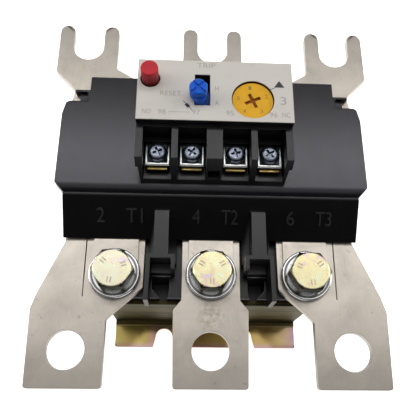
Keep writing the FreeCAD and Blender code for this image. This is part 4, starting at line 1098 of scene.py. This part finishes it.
# ---- stage ----
class RELAY_OT_stage(RelayStep, bpy.types.Operator):
    """Floor, soft boxes, dim surround and the camera"""
    bl_idname = "relay.stage"
    bl_label = "Stage"

    def execute(self, context):
        self.floor()
        # name, place, aim, size and power in watts
        self.lamp("softbox_above", (0.0, 0.32, 0.89), (0, 0, 0.05), (1.4, 0.35), 2.4)
        self.lamp("softbox_top", (0.0, -0.05, 0.95), (0, 0, 0.05), (1.4, 0.42), 1.35)
        self.lamp("strip_behind", (0.0, 0.4, 0.85), (0, 0, 0.05), (1.4, 0.08), 2.1)
        self.lamp("softbox_left", (-0.8, 0.15, 0.4), (0, 0, 0.04), (0.5, 0.5), 3.0)
        self.lamp("softbox_right", (0.8, 0.15, 0.4), (0, 0, 0.04), (0.5, 0.5), 3.0)
        self.surround(context)
        self.camera()
        context.scene.view_settings.view_transform = "Standard"
        return {"FINISHED"}

    def surround(self, context):
        """Dim room with a bright band at the horizon, which low views see as backdrop."""
        world = bpy.data.worlds.new("soft_surround")
        context.scene.world = world
        world.use_nodes = True
        wiring = Wiring(world.node_tree)
        split = wiring.node("ShaderNodeSeparateXYZ")
        wiring.link(wiring.node("ShaderNodeTexCoord").outputs["Generated"], split.inputs["Vector"])
        band_top, dark_from = 0.1, 0.16
        band = wiring.spread(split.outputs["Z"], band_top, dark_from, 1.0, 0.02)
        diffuse = wiring.node("ShaderNodeLightPath").outputs["Is Diffuse Ray"]
        dimmed = wiring.spread(diffuse, 0, 1, 1.0, 0.15)
        background = world.node_tree.nodes["Background"]
        background.inputs["Color"].default_value = (1, 1, 1, 1)
        wiring.link(wiring.maths("MULTIPLY", band, dimmed), background.inputs["Strength"])

    def floor(self):
        start()
        bpy.ops.mesh.primitive_plane_add(size=6, location=(0, 0, -0.15 * MM))
        floor = bpy.context.active_object
        settle(floor)
        floor.name = "floor"
        finish = Finish("pale_floor")
        shade = shade_of("floor")
        finish.colour(finish.blend(finish.noise(0.2), darker(shade, 0.98), shade))
        finish.plain(Roughness=0.7, Specular_IOR_Level=0.1)
        glow = finish.node("ShaderNodeEmission")
        glow.inputs["Color"].default_value = (1, 1, 1, 1)
        path = finish.node("ShaderNodeLightPath")
        mirrored = finish.maths("MAXIMUM", path.outputs["Is Glossy Ray"],
                                path.outputs["Is Transmission Ray"])
        seen = finish.maths("MAXIMUM", path.outputs["Is Camera Ray"], mirrored)
        finish.link(finish.maths("MULTIPLY", seen, 0.9), glow.inputs["Strength"])
        both = finish.node("ShaderNodeAddShader")
        finish.link(finish.shader.outputs["BSDF"], both.inputs[0])
        finish.link(glow.outputs["Emission"], both.inputs[1])
        output = finish.tree.nodes["Material Output"]
        finish.link(both.outputs["Shader"], output.inputs["Surface"])
        floor.data.materials.append(finish.material)

    def lamp(self, name, place, aim, size, power):
        data = bpy.data.lights.new(name, "AREA")
        data.shape = "RECTANGLE"
        data.size, data.size_y = size
        data.energy = power
        lamp = bpy.data.objects.new(name, data)
        lamp.location = place
        lamp.rotation_euler = (Vector(aim) - Vector(place)).to_track_quat("-Z", "Y").to_euler()
        bpy.context.scene.collection.objects.link(lamp)

    def camera(self):
        data = bpy.data.cameras.new("bench_camera")
        data.sensor_width, data.lens = 36.0, 46.73
        data.clip_start, data.clip_end = 0.01, 20
        camera = bpy.data.objects.new("bench_camera", data)
        place = (-9.72 * MM, -76.07 * MM, 233.47 * MM)
        # columns: the camera's right, its up, and the way back from what it sees
        axes = Matrix(((0.9989, -0.0204, -0.0427), (0.0040, 0.9354, -0.3536), (0.0472, 0.3530, 0.9344)))
        camera.matrix_world = Matrix.Translation(place) @ axes.to_4x4()
        bpy.context.scene.collection.objects.link(camera)
        bpy.context.scene.camera = camera


STEPS = (RELAY_OT_housings, RELAY_OT_terminal_marks, RELAY_OT_panel, RELAY_OT_conductors,
         RELAY_OT_terminal_bolts, RELAY_OT_control_terminals, RELAY_OT_dial, RELAY_OT_buttons,
         RELAY_OT_bracket, RELAY_OT_return_springs, RELAY_OT_mechanism, RELAY_OT_stage)


class RELAY_PT_steps(bpy.types.Panel):
    """Lists the relay's steps, sizes and colours"""
    bl_idname = "RELAY_PT_steps"
    bl_label = "Thermal Overload Relay"
    bl_space_type = "VIEW_3D"
    bl_region_type = "UI"
    bl_category = "Relay"

    def draw(self, context):
        for step in STEPS:
            self.layout.operator(step.bl_idname)
        for group in (context.scene.relay_sizes, context.scene.relay_colours):
            column = self.layout.column(align=True)
            for name in group.bl_rna.properties.keys():
                if name not in ("rna_type", "name"):
                    column.prop(group, name)


CLASSES = (RelaySizes, RelayColours, *STEPS, RELAY_PT_steps)


def register():
    for item in CLASSES:
        bpy.utils.register_class(item)
    bpy.types.Scene.relay_sizes = bpy.props.PointerProperty(type=RelaySizes)
    bpy.types.Scene.relay_colours = bpy.props.PointerProperty(type=RelayColours)


def unregister():
    del bpy.types.Scene.relay_colours
    del bpy.types.Scene.relay_sizes
    for item in reversed(CLASSES):
        bpy.utils.unregister_class(item)


def main():
    register()
    bpy.ops.relay.housings()
    bpy.ops.relay.terminal_marks()
    bpy.ops.relay.panel()
    bpy.ops.relay.conductors()
    bpy.ops.relay.terminal_bolts()
    bpy.ops.relay.control_terminals()
    bpy.ops.relay.dial()
    bpy.ops.relay.buttons()
    bpy.ops.relay.bracket()
    bpy.ops.relay.return_springs()
    bpy.ops.relay.mechanism()
    bpy.ops.relay.stage()


if __name__ == "__main__":
    main()
